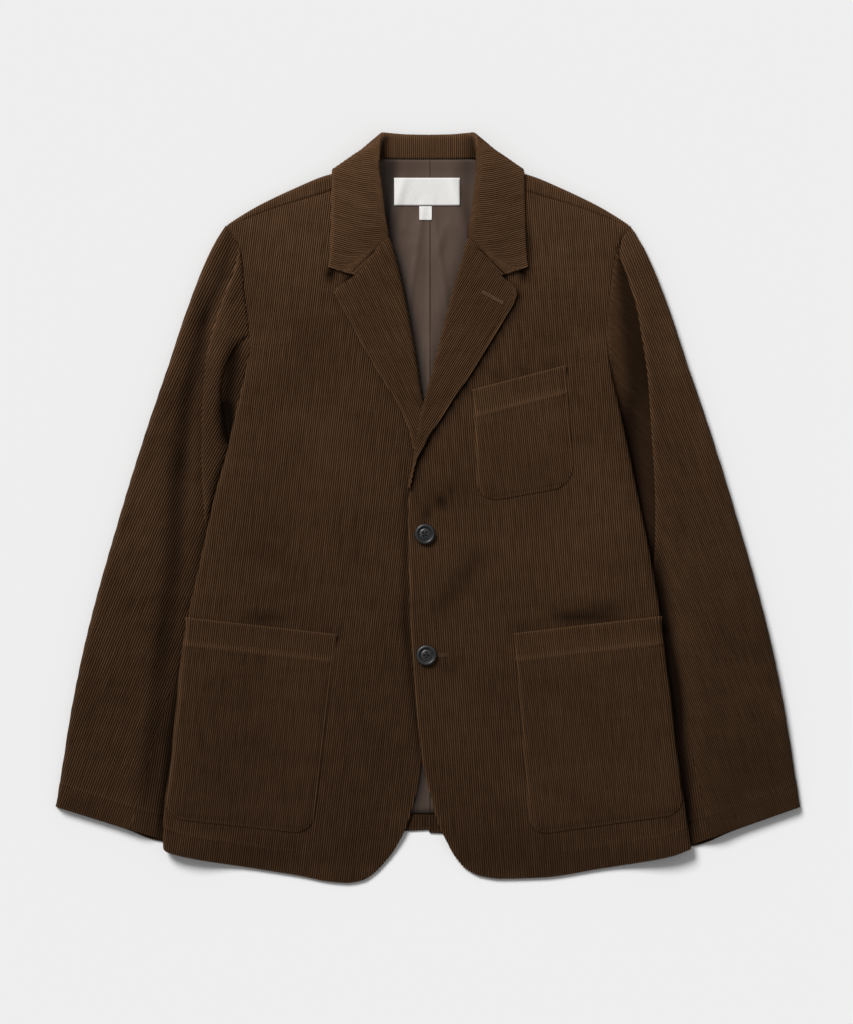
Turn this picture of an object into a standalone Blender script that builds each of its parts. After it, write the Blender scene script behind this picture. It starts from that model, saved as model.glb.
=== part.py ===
"""Single-breasted corduroy jacket, laid flat on its back with both buttons fastened.

The frame is metres with +Z up from the surface that the jacket lies on and +Y towards the
collar.  The wearer's left is +X.  The origin is below the middle of the jacket, on the surface.
Sizes are in millimetres until add_sheet and the buttons turn them into metres.

A side of the jacket is worked out in its own half: "out" is the distance from the centre line
towards that side's sleeve, so one function serves both sides and the tables give each its cut.
"""

import math
from typing import NamedTuple

import bmesh
import bpy
import numpy as np

MM = 0.001
LEFT = 1
RIGHT = -1
SIDE_NAME = {LEFT: "left", RIGHT: "right"}

# Cloth
CLOTH = 2.0
POCKET_CLOTH = 1.6
LINING_CLOTH = 1.2
LABEL_CLOTH = 0.6
SEAM_GAP = 0.4
SHOULDER_SEAM_GAP = 0.7
UNDER_SEAM_GAP = 0.8
LIP_GAP = 0.6
PATCH_GAP = 0.9
LINING_GAP = 0.6
SEAT_GAP = 0.4

# How the layers lie on each other
BODY_HEIGHT = 9.5
HALF_HEIGHT = 0.5 * BODY_HEIGHT
SLEEVE_LIFT = 5.6
COLLAR_LIFT = 2.8
UNDERLAP_DUCK = 3.0
LAPEL_CROSS_RISE = 2.7
HEM_REST = 3.6
HEM_DROOP = 0.85
EDGE_ROLL = 6.0
SHOULDER_ROLL = 5.0
ARMHOLE_DIP = 0.9
ARMHOLE_DIP_WIDTH = 5.0

# Where things are along the body
NECK_HALF = 80.0
SHOULDER_LOW_Y = 285.0
LINING_HEM_Y = -320.0
LINING_INSET = 13.0
CENTRE_SEAM_OUT = {LEFT: 2.0, RIGHT: -2.0}

# Sleeves
TUCK = 15.0
SLEEVE_EDGE_HEIGHT = 5.0
SLEEVE_RISE = 8.0
SLEEVE_ROLL = 6.5
SLEEVE_SEAM_HEIGHT = 8.6
HEAD_RISE = 4.2
CUFF_THINNING = 3.0

# Buttons
BUTTON_RADIUS = 10.8
BUTTON_THICK = 4.0
BUTTON_HOLE_RADIUS = 0.9
BUTTON_HOLE_RING = 2.12
BUTTON_HOLES = 4
BUTTON_HOLE_SIDES = 8
DRILL_DEPTH = 16.0
BUTTON_SEAT = 0.5
BUTTON_SIDES = 20

# Meshes
ARMHOLE_ROWS = (0.86, 0.9, 0.93, 0.95, 0.965, 0.98, 0.99, 1.0)
FULL_WIDTH = 90.0
FRONT_NEAR_EDGE = (24.0, 13.0, 6.0, 3.0, 0.8, 0.0)
FRONT_COLUMNS = 11
BODY_ROWS = 26
BACK_COLUMNS = (0, 20, 40, 60, 82, 104, 126, 147, 166, 183, 198, 211)
BACK_ROWS = 21
BACK_TURN = (30.0, 60.0, 90.0)
BACK_STRIP = (0.25, 0.5, 0.75, 1.0)
LAY_MARGIN = 1.0
LINING_ROWS = 17
LINING_COLUMNS = 8
LINING_NECK_INSET = 4.0
SLEEVE_ROWS = 22
SLEEVE_COLUMNS = 8
SLEEVE_NEAR_EDGE = (15.0, 6.5, 3.2, 0.9, 0.0)
UNDER_COLUMNS = 4
LAPEL_ROWS = 15
LAPEL_COLUMNS = 5
LAPEL_NEAR_ROLL = (0.0, 0.6, 2.0, 4.0)
LAPEL_FULL = 16.0
COLLAR_ROWS = 23
COLLAR_COLUMNS = 11
POCKET_CORNER_ROWS = (0.0, 0.07, 0.3, 0.6)
POCKET_ROWS = 9
POCKET_COLUMNS = 6
POCKET_NEAR_EDGE = (13.0, 6.0, 3.0, 0.0)
POCKET_FROM_EDGE = 1.2
LABEL_GRID = (3, 5)
TAB_GRID = (3, 3)
STEP = 0.4
MERGE = 0.00001


class Ease(NamedTuple):
    """Where a smooth change starts and where it is complete."""

    start: float
    end: float


# Changes of height, by distance in from the side edge, outwards (OUT) or along Y (UP or DOWN)
SLEEVE_LIFT_IN = Ease(95.0, 14.0)
SLEEVE_LIFT_DOWN = Ease(215.0, 128.0)
COLLAR_LIFT_OUT = Ease(190.0, 105.0)
COLLAR_LIFT_UP = Ease(190.0, 318.0)
CROSS_OUT = Ease(50.0, 14.0)
CROSS_UP = Ease(0.0, 24.0)
CROSS_DOWN = Ease(175.0, 122.0)
DUCK_OUT = Ease(105.0, 28.0)
DUCK_DOWN = Ease(240.0, 100.0)
DROOP_DOWN = Ease(-8.0, 40.0)
DROOP_OUT = Ease(262.0, 190.0)
ARMHOLE_TO_SIDE = Ease(160.0, 131.0)
MARGIN_DOWN = Ease(150.0, 131.0)
LINING_NECK_OUT = Ease(50.0, 70.0)
LAPEL_PUFF_OUT = Ease(30.0, 0.0)
UNDERLAP_PUFF_UP = Ease(100.0, 170.0)
TUCK_DOWN = Ease(100.0, 20.0)
SLEEVE_RISE_OUT = Ease(1.0, 44.0)
HEAD_RISE_OUT = Ease(0.0, 24.0)
HEAD_TO_SLEEVE = Ease(168.0, 112.0)
CUFF_THINNING_DOWN = Ease(-180.0, -330.0)
CUFF_THINNING_OUT = Ease(0.0, 60.0)
SLEEVE_FOLDS_OUT = Ease(2.0, 26.0)
FOLD_START = Ease(-0.25, 0.25)
FOLD_STOP = Ease(1.25, 0.75)


class Width(NamedTuple):
    """Half width of each side at one height."""

    y: float
    left: float
    right: float


class Reach(NamedTuple):
    """How far out an edge lies at one height."""

    y: float
    out: float


class Spot(NamedTuple):
    """A point of an edge, seen from above."""

    out: float
    y: float


class Fold(NamedTuple):
    """A soft crease or ridge (positive height) along a straight line, seen from above."""

    out_a: float
    y_a: float
    out_b: float
    y_b: float
    width: float
    height: float


class CollarRow(NamedTuple):
    """One section across the collar, from the neck seam over the fold to the leaf's edge."""

    seam: tuple
    stand: tuple
    rise: tuple
    fold: tuple
    turn: tuple
    leaf: tuple
    edge: tuple


class ButtonPart(NamedTuple):
    """A corner of a button's half section, as parts of its radius and of its thickness."""

    across: float
    up: float


class Finish(NamedTuple):
    """Plain look of a material."""

    colour: tuple
    roughness: float


class PatchPocket(NamedTuple):
    """A patch pocket: its four corners, how round its lower ones are, and its front's side."""

    side: int
    top_in: Spot
    top_out: Spot
    low_in: Spot
    low_out: Spot
    corner: float
    to_side: bool


# Side edge and armhole of the body, from the hem to the top of the armhole
BODY_EDGE = (
    Width(-362, 277.0, 275.5),
    Width(-322, 271.0, 276.0),
    Width(-265, 262.5, 270.0),
    Width(-212, 256.5, 265.0),
    Width(-139, 247.0, 257.0),
    Width(-97, 241.5, 248.5),
    Width(-60, 235.0, 240.0),
    Width(-23, 228.0, 232.0),
    Width(19, 219.0, 222.5),
    Width(61, 210.5, 210.5),
    Width(100, 202.0, 202.0),
    Width(129, 195.5, 195.0),
    Width(150, 190.5, 190.0),
    Width(171, 188.0, 186.5),
    Width(197, 188.0, 188.5),
    Width(229, 191.0, 193.0),
    Width(258, 195.0, 194.5),
    Width(276, 200.0, 198.5),
    Width(285, 204.5, 203.5),
    Width(293, 211.0, 211.0),
)

CUFF_OUTER_Y = -313.5
CUFF_INNER_Y = -359.0

# Silhouette of the shoulder and the shoulder seam in front of it
SHOULDER_LINE = (
    Spot(0, 370.0),
    Spot(60, 370.0),
    Spot(71, 361.0),
    Spot(84, 354.5),
    Spot(102, 350.5),
    Spot(112, 347.5),
    Spot(137, 337.0),
    Spot(178, 317.5),
    Spot(200, 304.5),
    Spot(212, 296.5),
)
SHOULDER_SEAM = (
    Spot(72, 343.0),
    Spot(104, 331.5),
    Spot(160, 314.5),
    Spot(197, 300.5),
    Spot(212, 293.5),
)
SHOULDER_TIP = 211.0

# Front edge, then just inside the roll of the lapel, then the neck under the collar
FRONT_EDGE = {
    LEFT: (
        Spot(28.4, -366.5),
        Spot(20.0, -350.7),
        Spot(12.6, -333.0),
        Spot(7.4, -307.0),
        Spot(2.1, -285.0),
        Spot(-6.3, -261.0),
        Spot(-12.6, -202.0),
        Spot(-16.8, -149.0),
        Spot(-18.9, -97.0),
        Spot(-20.6, -20.0),
        Spot(-20.4, 8.0),
        Spot(-18.8, 20.0),
        Spot(-13.4, 45.0),
        Spot(-9.7, 71.0),
        Spot(-1.2, 113.0),
        Spot(11.4, 161.0),
        Spot(23.2, 208.0),
        Spot(38.2, 255.0),
        Spot(53.0, 284.0),
        Spot(71.0, 306.0),
        Spot(72.0, 343.0),
    ),
    RIGHT: (
        Spot(43.0, -369.6),
        Spot(32.6, -354.0),
        Spot(24.2, -338.0),
        Spot(16.0, -314.0),
        Spot(9.5, -286.0),
        Spot(4.5, -250.0),
        Spot(-6.0, -200.0),
        Spot(-13.0, -140.0),
        Spot(-16.0, -80.0),
        Spot(-16.0, 5.0),
        Spot(-13.0, 30.0),
        Spot(-5.8, 60.0),
        Spot(1.4, 90.0),
        Spot(8.7, 117.0),
        Spot(13.7, 150.0),
        Spot(22.1, 197.5),
        Spot(33.4, 250.0),
        Spot(51.0, 284.0),
        Spot(71.0, 306.0),
        Spot(72.0, 343.0),
    ),
}

# Hem of each front, from the rounded corner to the side
FRONT_HEM = {
    LEFT: (
        Spot(28.4, -366.5),
        Spot(39.0, -378.5),
        Spot(55.0, -386.6),
        Spot(76.0, -389.6),
        Spot(118.0, -388.5),
        Spot(181.0, -379.0),
        Spot(233.0, -370.5),
        Spot(258.0, -365.0),
        Spot(277.0, -357.5),
    ),
    RIGHT: (
        Spot(43.0, -369.6),
        Spot(55.7, -383.0),
        Spot(69.5, -391.5),
        Spot(85.0, -394.0),
        Spot(103.0, -392.7),
        Spot(134.0, -386.6),
        Spot(187.0, -378.0),
        Spot(240.0, -369.6),
        Spot(275.5, -360.0),
    ),
}
BACK_HEM = {
    LEFT: (Spot(0, -340.5), Spot(150, -345.0), Spot(276, -356.5)),
    RIGHT: (Spot(0, -337.5), Spot(150, -345.0), Spot(274.5, -358.5)),
}

SLEEVE_SILHOUETTE = (
    Reach(-313.5, 390.6),
    Reach(-275, 384.5),
    Reach(-212, 374.5),
    Reach(-149, 361.8),
    Reach(-86, 346.0),
    Reach(-30, 330.0),
    Reach(19, 315.5),
    Reach(87, 294.0),
    Reach(150, 272.5),
    Reach(203, 255.0),
    Reach(243, 240.0),
    Reach(276, 225.0),
    Reach(296.3, 212.6),
)
SLEEVE_HEAD_Y = 285.0
SLEEVE_HEAD = (
    Spot(209.6, 289.6),
    Spot(212.4, 293.0),
    Spot(212.6, 296.3),
)

ROLL_LINE = {
    LEFT: (
        Spot(-22.5, 19.0),
        Spot(-16.5, 45.0),
        Spot(-12.6, 71.4),
        Spot(-8.4, 98.0),
        Spot(-2.0, 122.0),
        Spot(8.4, 161.0),
        Spot(20.0, 208.0),
        Spot(34.6, 255.0),
        Spot(44.0, 283.0),
    ),
    RIGHT: (
        Spot(-16.0, 30.0),
        Spot(-9.0, 60.0),
        Spot(-2.0, 90.0),
        Spot(5.3, 117.0),
        Spot(10.5, 150.0),
        Spot(18.9, 197.5),
        Spot(30.0, 250.0),
        Spot(42.0, 283.0),
    ),
}
LAPEL_EDGE = {
    LEFT: (
        Spot(-19.0, 21.0),
        Spot(-14.0, 45.0),
        Spot(-6.0, 62.0),
        Spot(2.1, 77.0),
        Spot(12.6, 92.4),
        Spot(33.6, 124.0),
        Spot(54.6, 155.4),
        Spot(70.4, 182.0),
        Spot(81.0, 199.5),
        Spot(93.4, 226.0),
    ),
    RIGHT: (
        Spot(-12.0, 31.5),
        Spot(1.0, 40.0),
        Spot(11.0, 50.0),
        Spot(15.5, 63.0),
        Spot(20.0, 82.0),
        Spot(29.4, 105.0),
        Spot(50.4, 139.0),
        Spot(71.4, 175.5),
        Spot(90.3, 211.0),
        Spot(98.5, 226.0),
    ),
}
GORGE = {
    LEFT: (
        Spot(44.0, 283.0),
        Spot(55.0, 264.0),
        Spot(65.6, 254.2),
        Spot(76.4, 242.8),
        Spot(93.4, 226.0),
    ),
    RIGHT: (
        Spot(42.0, 283.0),
        Spot(54.0, 264.0),
        Spot(65.2, 253.0),
        Spot(76.5, 242.3),
        Spot(98.5, 226.0),
    ),
}
LAPEL_ROLL = 4.0
LAPEL_PUFF = 1.8

# Sections of half the collar, from the middle of the back to the end of the leaf
COLLAR = (
    CollarRow(
        (0, 366, 9.2), (0, 379, 9.6), (0, 388, 9.2), (0, 392.6, 5.4),
        (0, 388, 1.5), (0, 366, 1.2), (0, 346, 1.2),
    ),
    CollarRow(
        (22, 366, 9.2), (22, 379, 9.8), (22, 388.2, 9.3), (22, 392.6, 5.6),
        (23, 388, 1.5), (25, 366, 1.2), (27, 345, 1.2),
    ),
    CollarRow(
        (42, 366.5, 9.4), (40, 379, 10.5), (40, 388.5, 10.5), (41, 392.4, 7.0),
        (44, 387, 1.8), (52, 364, 1.2), (60, 340, 1.2),
    ),
    CollarRow(
        (54, 366, 9.8), (48, 377, 12.0), (46.5, 388, 14.0), (49, 391.8, 11.0),
        (54, 385.5, 3.0), (70, 365, 1.4), (88, 341, 1.2),
    ),
    CollarRow(
        (57.5, 364.5, 10.0), (51, 374.5, 12.7), (48, 386, 15.5), (50.3, 391, 13.8),
        (57.5, 386, 5.6), (75.5, 370.5, 3.2), (95, 355, 2.2),
    ),
    CollarRow(
        (60, 363, 10.2), (53, 372, 13.5), (49, 383, 17.0), (51.5, 389.5, 15.5),
        (59, 382.5, 10.5), (77, 370.8, 8.5), (98.5, 355.8, 7.5),
    ),
    CollarRow(
        (64, 356, 10.4), (56, 362, 14.0), (50.5, 370, 18.0), (51.5, 379, 20.0),
        (58, 376, 19.5), (78, 365, 17.2), (101, 350, 14.4),
    ),
    CollarRow(
        (66, 346, 10.4), (57, 349, 13.6), (51.5, 354, 17.6), (51.5, 360, 20.6),
        (57, 358, 20.6), (77, 349, 18.0), (101, 336, 14.0),
    ),
    CollarRow(
        (66, 330, 10.4), (57, 331, 13.2), (50, 333, 16.8), (48.8, 335, 20.0),
        (53.5, 335, 20.8), (76, 328, 17.8), (101.5, 315, 14.0),
    ),
    CollarRow(
        (62.5, 309, 11.4), (54, 308.5, 13.0), (47, 308, 15.8), (45.5, 307, 18.8),
        (50, 307, 19.6), (75, 301, 16.8), (102, 290, 13.8),
    ),
    CollarRow(
        (47.4, 287.2, 11.6), (46.2, 286.6, 13.0), (45.6, 286.0, 14.8), (47.0, 285.5, 16.4),
        (52, 284.8, 17.0), (76, 280, 15.2), (103, 272, 13.4),
    ),
    CollarRow(
        (57.0, 265.0, 14.2), (58.4, 265.3, 14.6), (60.0, 265.6, 14.8), (62.0, 265.7, 14.9),
        (65, 265.4, 14.8), (83, 263, 14.2), (104, 259, 13.1),
    ),
    CollarRow(
        (77.6, 244.2, 13.2), (79.0, 244.6, 13.2), (80.6, 245.1, 13.2), (82.5, 245.5, 13.2),
        (85.5, 246.3, 13.2), (94, 249, 13.0), (105, 252.5, 12.9),
    ),
)

BUTTON_SHAPE = (
    ButtonPart(0.0, 0.55),
    ButtonPart(0.52, 0.55),
    ButtonPart(0.66, 0.92),
    ButtonPart(0.8, 1.0),
    ButtonPart(0.95, 0.86),
    ButtonPart(1.0, 0.55),
    ButtonPart(0.86, 0.1),
    ButtonPart(0.7, 0.0),
    ButtonPart(0.0, 0.0),
)
POCKETS = {
    "chest_pocket": PatchPocket(
        side=LEFT,
        top_in=Spot(46.2, 124.0),
        top_out=Spot(144.5, 149.5),
        low_in=Spot(52.5, 9.0),
        low_out=Spot(153.5, 27.0),
        corner=22.0,
        to_side=False,
    ),
    "hip_pocket_left": PatchPocket(
        side=LEFT,
        top_in=Spot(89.5, -131.5),
        top_out=Spot(243.0, -113.5),
        low_in=Spot(107.0, -344.0),
        low_out=Spot(268.0, -321.0),
        corner=20.0,
        to_side=True,
    ),
    "hip_pocket_right": PatchPocket(
        side=RIGHT,
        top_in=Spot(96.0, -132.5),
        top_out=Spot(255.0, -114.5),
        low_in=Spot(121.0, -342.5),
        low_out=Spot(275.0, -325.5),
        corner=20.0,
        to_side=True,
    ),
}
BUTTONS = {"button_upper": Spot(-3.2, -27.3), "button_lower": Spot(-1.6, -154.4)}

FINISHES = {
    "corduroy": Finish((0.095, 0.048, 0.022), 0.9),
    "lining_satin": Finish((0.155, 0.1, 0.082), 0.45),
    "button_resin": Finish((0.04, 0.045, 0.055), 0.35),
    "label_tape": Finish((0.8, 0.78, 0.72), 0.8),
}

LABEL_SIZE = (69.0, 29.0)
LABEL_MIDDLE = (-1.0, 331.8)
TAB_SIZE = (13.0, 14.5)
TAB_MIDDLE = (-2.6, 309.2)

BODY_FOLDS = {
    LEFT: (
        Fold(45, -55, 185, -98, 16, 1.4),
        Fold(20, 10, 80, -30, 11, -1.2),
        Fold(90, 200, 150, 60, 26, 0.9),
    ),
    RIGHT: (
        Fold(60, 190, 110, 40, 26, 1.0),
        Fold(120, -20, 205, -70, 18, -0.8),
    ),
}
SLEEVE_FOLDS = {
    LEFT: (
        Fold(222, 232, 234, 100, 11, 3.6),
        Fold(205, 225, 206, 120, 9, -3.2),
        Fold(262, 120, 330, -180, 20, -2.2),
        Fold(290, 60, 300, -60, 14, 1.6),
        Fold(330, -110, 300, -260, 18, -1.6),
    ),
    RIGHT: (
        Fold(212, 236, 205, 160, 10, 3.0),
        Fold(222, 262, 241, 170, 12, -4.0),
        Fold(240, 170, 262, -20, 15, -3.6),
        Fold(255, 150, 300, -60, 16, 1.8),
        Fold(315, -90, 300, -270, 18, -1.6),
    ),
}


def smoothstep(value, ease):
    """From 0 at the ease's start to 1 at its end."""
    part = np.clip((np.asarray(value, float) - ease.start) / (ease.end - ease.start), 0.0, 1.0)
    return part * part * (3.0 - 2.0 * part)


def through(knots, values, at):
    """Smooth curve through rows of a table that never overshoots them."""
    knots = np.asarray(knots, float)
    values = np.asarray(values, float)
    at = np.clip(at, knots[0], knots[-1])
    run = np.diff(knots)
    slope = np.diff(values) / run
    tangent = np.empty_like(values)
    tangent[0] = slope[0]
    tangent[-1] = slope[-1]
    before = slope[:-1]
    after = slope[1:]
    same_way = before * after > 0
    blend = np.where(same_way, before + after, 1.0)
    tangent[1:-1] = np.where(same_way, 2.0 * before * after / blend, 0.0)
    span = np.clip(np.searchsorted(knots, at, side="right") - 1, 0, len(run) - 1)
    t = (at - knots[span]) / run[span]
    start = (1 + 2 * t) * (1 - t) ** 2 * values[span]
    start_pull = t * (1 - t) ** 2 * run[span] * tangent[span]
    end = t * t * (3 - 2 * t) * values[span + 1]
    end_pull = t * t * (t - 1) * run[span] * tangent[span + 1]
    return start + start_pull + end + end_pull


def along(spots, at):
    """Points of an edge at parts (0 to 1) of its length."""
    points = np.array(spots, float)
    steps = np.hypot(*np.diff(points, axis=0).T)
    length = np.concatenate(([0.0], np.cumsum(steps)))
    length /= length[-1]
    columns = [through(length, points[:, axis], at) for axis in range(points.shape[1])]
    return np.stack(columns, axis=-1)


def fill(low, high, inner, outer, across, up):
    """Points of a panel between its four edges.

    low and high run outwards, inner and outer run upwards; across and up are arrays of the
    same shape that give each point's part of the way.
    """
    u = across[..., None]
    v = up[..., None]
    ends = (1 - v) * low(across) + v * high(across)
    sides = (1 - u) * inner(up) + u * outer(up)
    low_corners = (1 - v) * ((1 - u) * low(0.0) + u * low(1.0))
    high_corners = v * ((1 - u) * high(0.0) + u * high(1.0))
    return ends + sides - low_corners - high_corners


def body_edge(side, y):
    """How far out the side edge or armhole seam lies."""
    widths = [row.left if side == LEFT else row.right for row in BODY_EDGE]
    return through([row.y for row in BODY_EDGE], widths, y)


def shoulder_line(out):
    """Height along Y of the shoulder's silhouette."""
    return through([spot.out for spot in SHOULDER_LINE], [spot.y for spot in SHOULDER_LINE], out)


def sleeve_edge(y):
    """How far out the sleeve's outer fold lies."""
    return through([row.y for row in SLEEVE_SILHOUETTE], [row.out for row in SLEEVE_SILHOUETTE], y)


def roll(distance, radius):
    """Quarter round: 0 on the edge, 1 from the radius inwards."""
    part = 1.0 - np.clip(distance, 0.0, radius) / radius
    return np.sqrt(np.clip(1.0 - part * part, 0.0, 1.0))


def fold_height(folds, out, y):
    """Sum of the soft creases and ridges at a point."""
    total = np.zeros(np.broadcast(out, y).shape)
    for fold in folds:
        run_out = fold.out_b - fold.out_a
        run_y = fold.y_b - fold.y_a
        length = math.hypot(run_out, run_y)
        part = ((out - fold.out_a) * run_out + (y - fold.y_a) * run_y) / length**2
        aside = ((out - fold.out_a) * run_y - (y - fold.y_a) * run_out) / length
        ends = smoothstep(part, FOLD_START) * smoothstep(part, FOLD_STOP)
        total = total + fold.height * ends * np.exp(-((aside / fold.width) ** 2))
    return total


def underside(side, out, y):
    """Underside of the back: it climbs over the tucked sleeves and over the collar's leaf."""
    from_edge = body_edge(side, y) - out
    over_sleeve = SLEEVE_LIFT * smoothstep(from_edge, SLEEVE_LIFT_IN) * smoothstep(y, SLEEVE_LIFT_DOWN)
    over_leaf = COLLAR_LIFT * smoothstep(out, COLLAR_LIFT_OUT) * smoothstep(y, COLLAR_LIFT_UP)
    return over_sleeve + over_leaf


def hem_line(side, out):
    """Height along Y of the back's hem."""
    hem = BACK_HEM[side]
    return through([spot.out for spot in hem], [spot.y for spot in hem], out)


def front_top(side, out, y):
    """Outer face of a front."""
    base = underside(side, out, y)
    top = base + BODY_HEIGHT + fold_height(BODY_FOLDS[side], out, y)
    if side == LEFT:
        cross = smoothstep(out, CROSS_OUT) * smoothstep(y, CROSS_UP) * smoothstep(y, CROSS_DOWN)
        top = top + LAPEL_CROSS_RISE * cross
    else:
        tucked = smoothstep(out, DUCK_OUT) * smoothstep(y, DUCK_DOWN)
        top = top - UNDERLAP_DUCK * tucked
    below_hem = hem_line(side, np.maximum(out, 0.0)) - y
    droop = HEM_DROOP * (top - HEM_REST) * smoothstep(below_hem, DROOP_DOWN)
    top = top - droop * smoothstep(out, DROOP_OUT)
    from_edge = body_edge(side, y) - out
    lip_foot = base + CLOTH + LIP_GAP
    side_fold = lip_foot + (top - lip_foot) * roll(from_edge, EDGE_ROLL)
    at_armhole = top - ARMHOLE_DIP * np.exp(-((from_edge / ARMHOLE_DIP_WIDTH) ** 2))
    top = at_armhole + (side_fold - at_armhole) * smoothstep(y, ARMHOLE_TO_SIDE)
    middle = base + HALF_HEIGHT
    rounded = middle + (top - middle) * roll(shoulder_line(out) - y, SHOULDER_ROLL)
    return np.where(y > SHOULDER_LOW_Y, rounded, top)


def sleeve_top(side, out, y):
    """Outer face of a sleeve's upper half."""
    past_body = out - body_edge(side, y)
    low_plateau = SLEEVE_EDGE_HEIGHT + SLEEVE_RISE * smoothstep(past_body, SLEEVE_RISE_OUT)
    high_plateau = SLEEVE_SEAM_HEIGHT + HEAD_RISE * smoothstep(past_body, HEAD_RISE_OUT)
    plateau = high_plateau + (low_plateau - high_plateau) * smoothstep(y, HEAD_TO_SLEEVE)
    near_cuff = smoothstep(y, CUFF_THINNING_DOWN) * smoothstep(past_body, CUFF_THINNING_OUT)
    plateau = plateau - CUFF_THINNING * near_cuff
    free = smoothstep(past_body, SLEEVE_FOLDS_OUT)
    plateau = plateau + fold_height(SLEEVE_FOLDS[side], out, y) * free
    lean = 0.5 * (sleeve_edge(y + 1.0) - sleeve_edge(y - 1.0))
    from_fold = (sleeve_edge(y) - out) / np.hypot(1.0, lean)
    foot = CLOTH + LIP_GAP
    return foot + (plateau - foot) * roll(from_fold, SLEEVE_ROLL)


def lining_top(side, out, y):
    """Upper face of the lining."""
    return underside(side, out, y) + CLOTH + LINING_GAP + LINING_CLOTH


def material(name):
    """Plain Principled material from the table of finishes."""
    finish = FINISHES[name]
    made = bpy.data.materials.new(name)
    made.use_nodes = True
    shader = made.node_tree.nodes["Principled BSDF"]
    shader.inputs["Base Color"].default_value = (*finish.colour, 1.0)
    shader.inputs["Roughness"].default_value = finish.roughness
    made.diffuse_color = (*finish.colour, 1.0)
    return made


def to_world(side, out, y, height):
    """Points of one side's half in the jacket's frame."""
    return np.stack([side * out, y, np.broadcast_to(height, out.shape)], axis=-1)


def new_object(collection, name, mesh, finish):
    """Object with one material."""
    mesh.materials.append(finish)
    made = bpy.data.objects.new(name, mesh)
    collection.objects.link(made)
    return made


def add_sheet(collection, name, points, thickness, finish, facing, cut=None):
    """Cloth wall whose outer face goes through rows of points in millimetres.

    facing 1 keeps the grid's face up and -1 turns it over; cut(row, column) drops a cell.
    """
    rows, columns, _ = points.shape
    mesh = bpy.data.meshes.new(name)
    grid = bmesh.new()
    bmesh.ops.create_grid(grid, x_segments=columns - 1, y_segments=rows - 1, size=0.5)
    place = {}
    for vertex in grid.verts:
        column = round((vertex.co.x + 0.5) * (columns - 1))
        row = round((vertex.co.y + 0.5) * (rows - 1))
        place[vertex] = (row, column)
    if cut:
        dropped = []
        for face in grid.faces:
            corner_rows, corner_columns = zip(*(place[vertex] for vertex in face.verts))
            if cut(min(corner_rows), min(corner_columns)):
                dropped.append(face)
        bmesh.ops.delete(grid, geom=dropped, context="FACES")
    for vertex in grid.verts:
        vertex.co = points[place[vertex]] * MM
    if facing < 0:
        bmesh.ops.reverse_faces(grid, faces=grid.faces)
    grid.to_mesh(mesh)
    grid.free()
    mesh.shade_smooth()
    sheet = new_object(collection, name, mesh, finish)
    wall = sheet.modifiers.new("cloth", "SOLIDIFY")
    wall.thickness = thickness * MM
    wall.offset = -1.0
    wall.use_even_offset = True
    return sheet


def columns_to_edge(width, near, count):
    """Parts of the way across: even steps, then the given distances from the outer edge."""
    near = np.minimum(1.0, width / FULL_WIDTH)[:, None] * np.array(near)[None, :]
    steps = np.linspace(0.0, 1.0, count)[None, :] * (1.0 - near[:, :1] / width[:, None])
    close = 1.0 - near[:, 1:] / width[:, None]
    return np.concatenate([steps, close], axis=1)


def rows_up(count):
    """Parts of the way up a long panel, closer together round the top of the armhole."""
    even = np.linspace(0.0, ARMHOLE_ROWS[0], count - len(ARMHOLE_ROWS) + 1)
    return np.concatenate([even[:-1], ARMHOLE_ROWS])


def upright(out, low_y, high_y, part):
    """Points of a straight edge that runs up along Y."""
    y = low_y + part * (high_y - low_y)
    return np.stack([out + 0.0 * y, y], axis=-1)


def body_outer(side, low_y, inset=None):
    """Side edge and armhole as an edge that runs up from low_y to the shoulder."""

    def outer(part):
        y = low_y + part * (SHOULDER_SEAM[-1].y - low_y)
        moved = 0.0 if inset is None else inset(y)
        return np.stack([body_edge(side, y) - moved, y], axis=-1)

    return outer


def front_points(side):
    """Outer face of a front, rows from the hem to the shoulder seam."""
    up = rows_up(BODY_ROWS)
    outer = body_outer(side, FRONT_HEM[side][-1].y)
    inner = along(FRONT_EDGE[side], up)
    width = outer(up)[:, 0] - inner[:, 0]
    across = columns_to_edge(width, FRONT_NEAR_EDGE, FRONT_COLUMNS)
    seam = SHOULDER_SEAM[:-1] + (Spot(SHOULDER_TIP, SHOULDER_SEAM[-1].y),)
    flat = fill(
        lambda part: along(FRONT_HEM[side], part),
        lambda part: along(seam, part),
        lambda part: along(FRONT_EDGE[side], part),
        outer,
        across,
        np.broadcast_to(up[:, None], across.shape),
    )
    out, y = np.moveaxis(flat, -1, 0)
    return to_world(side, out, y, front_top(side, out, y))


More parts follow.
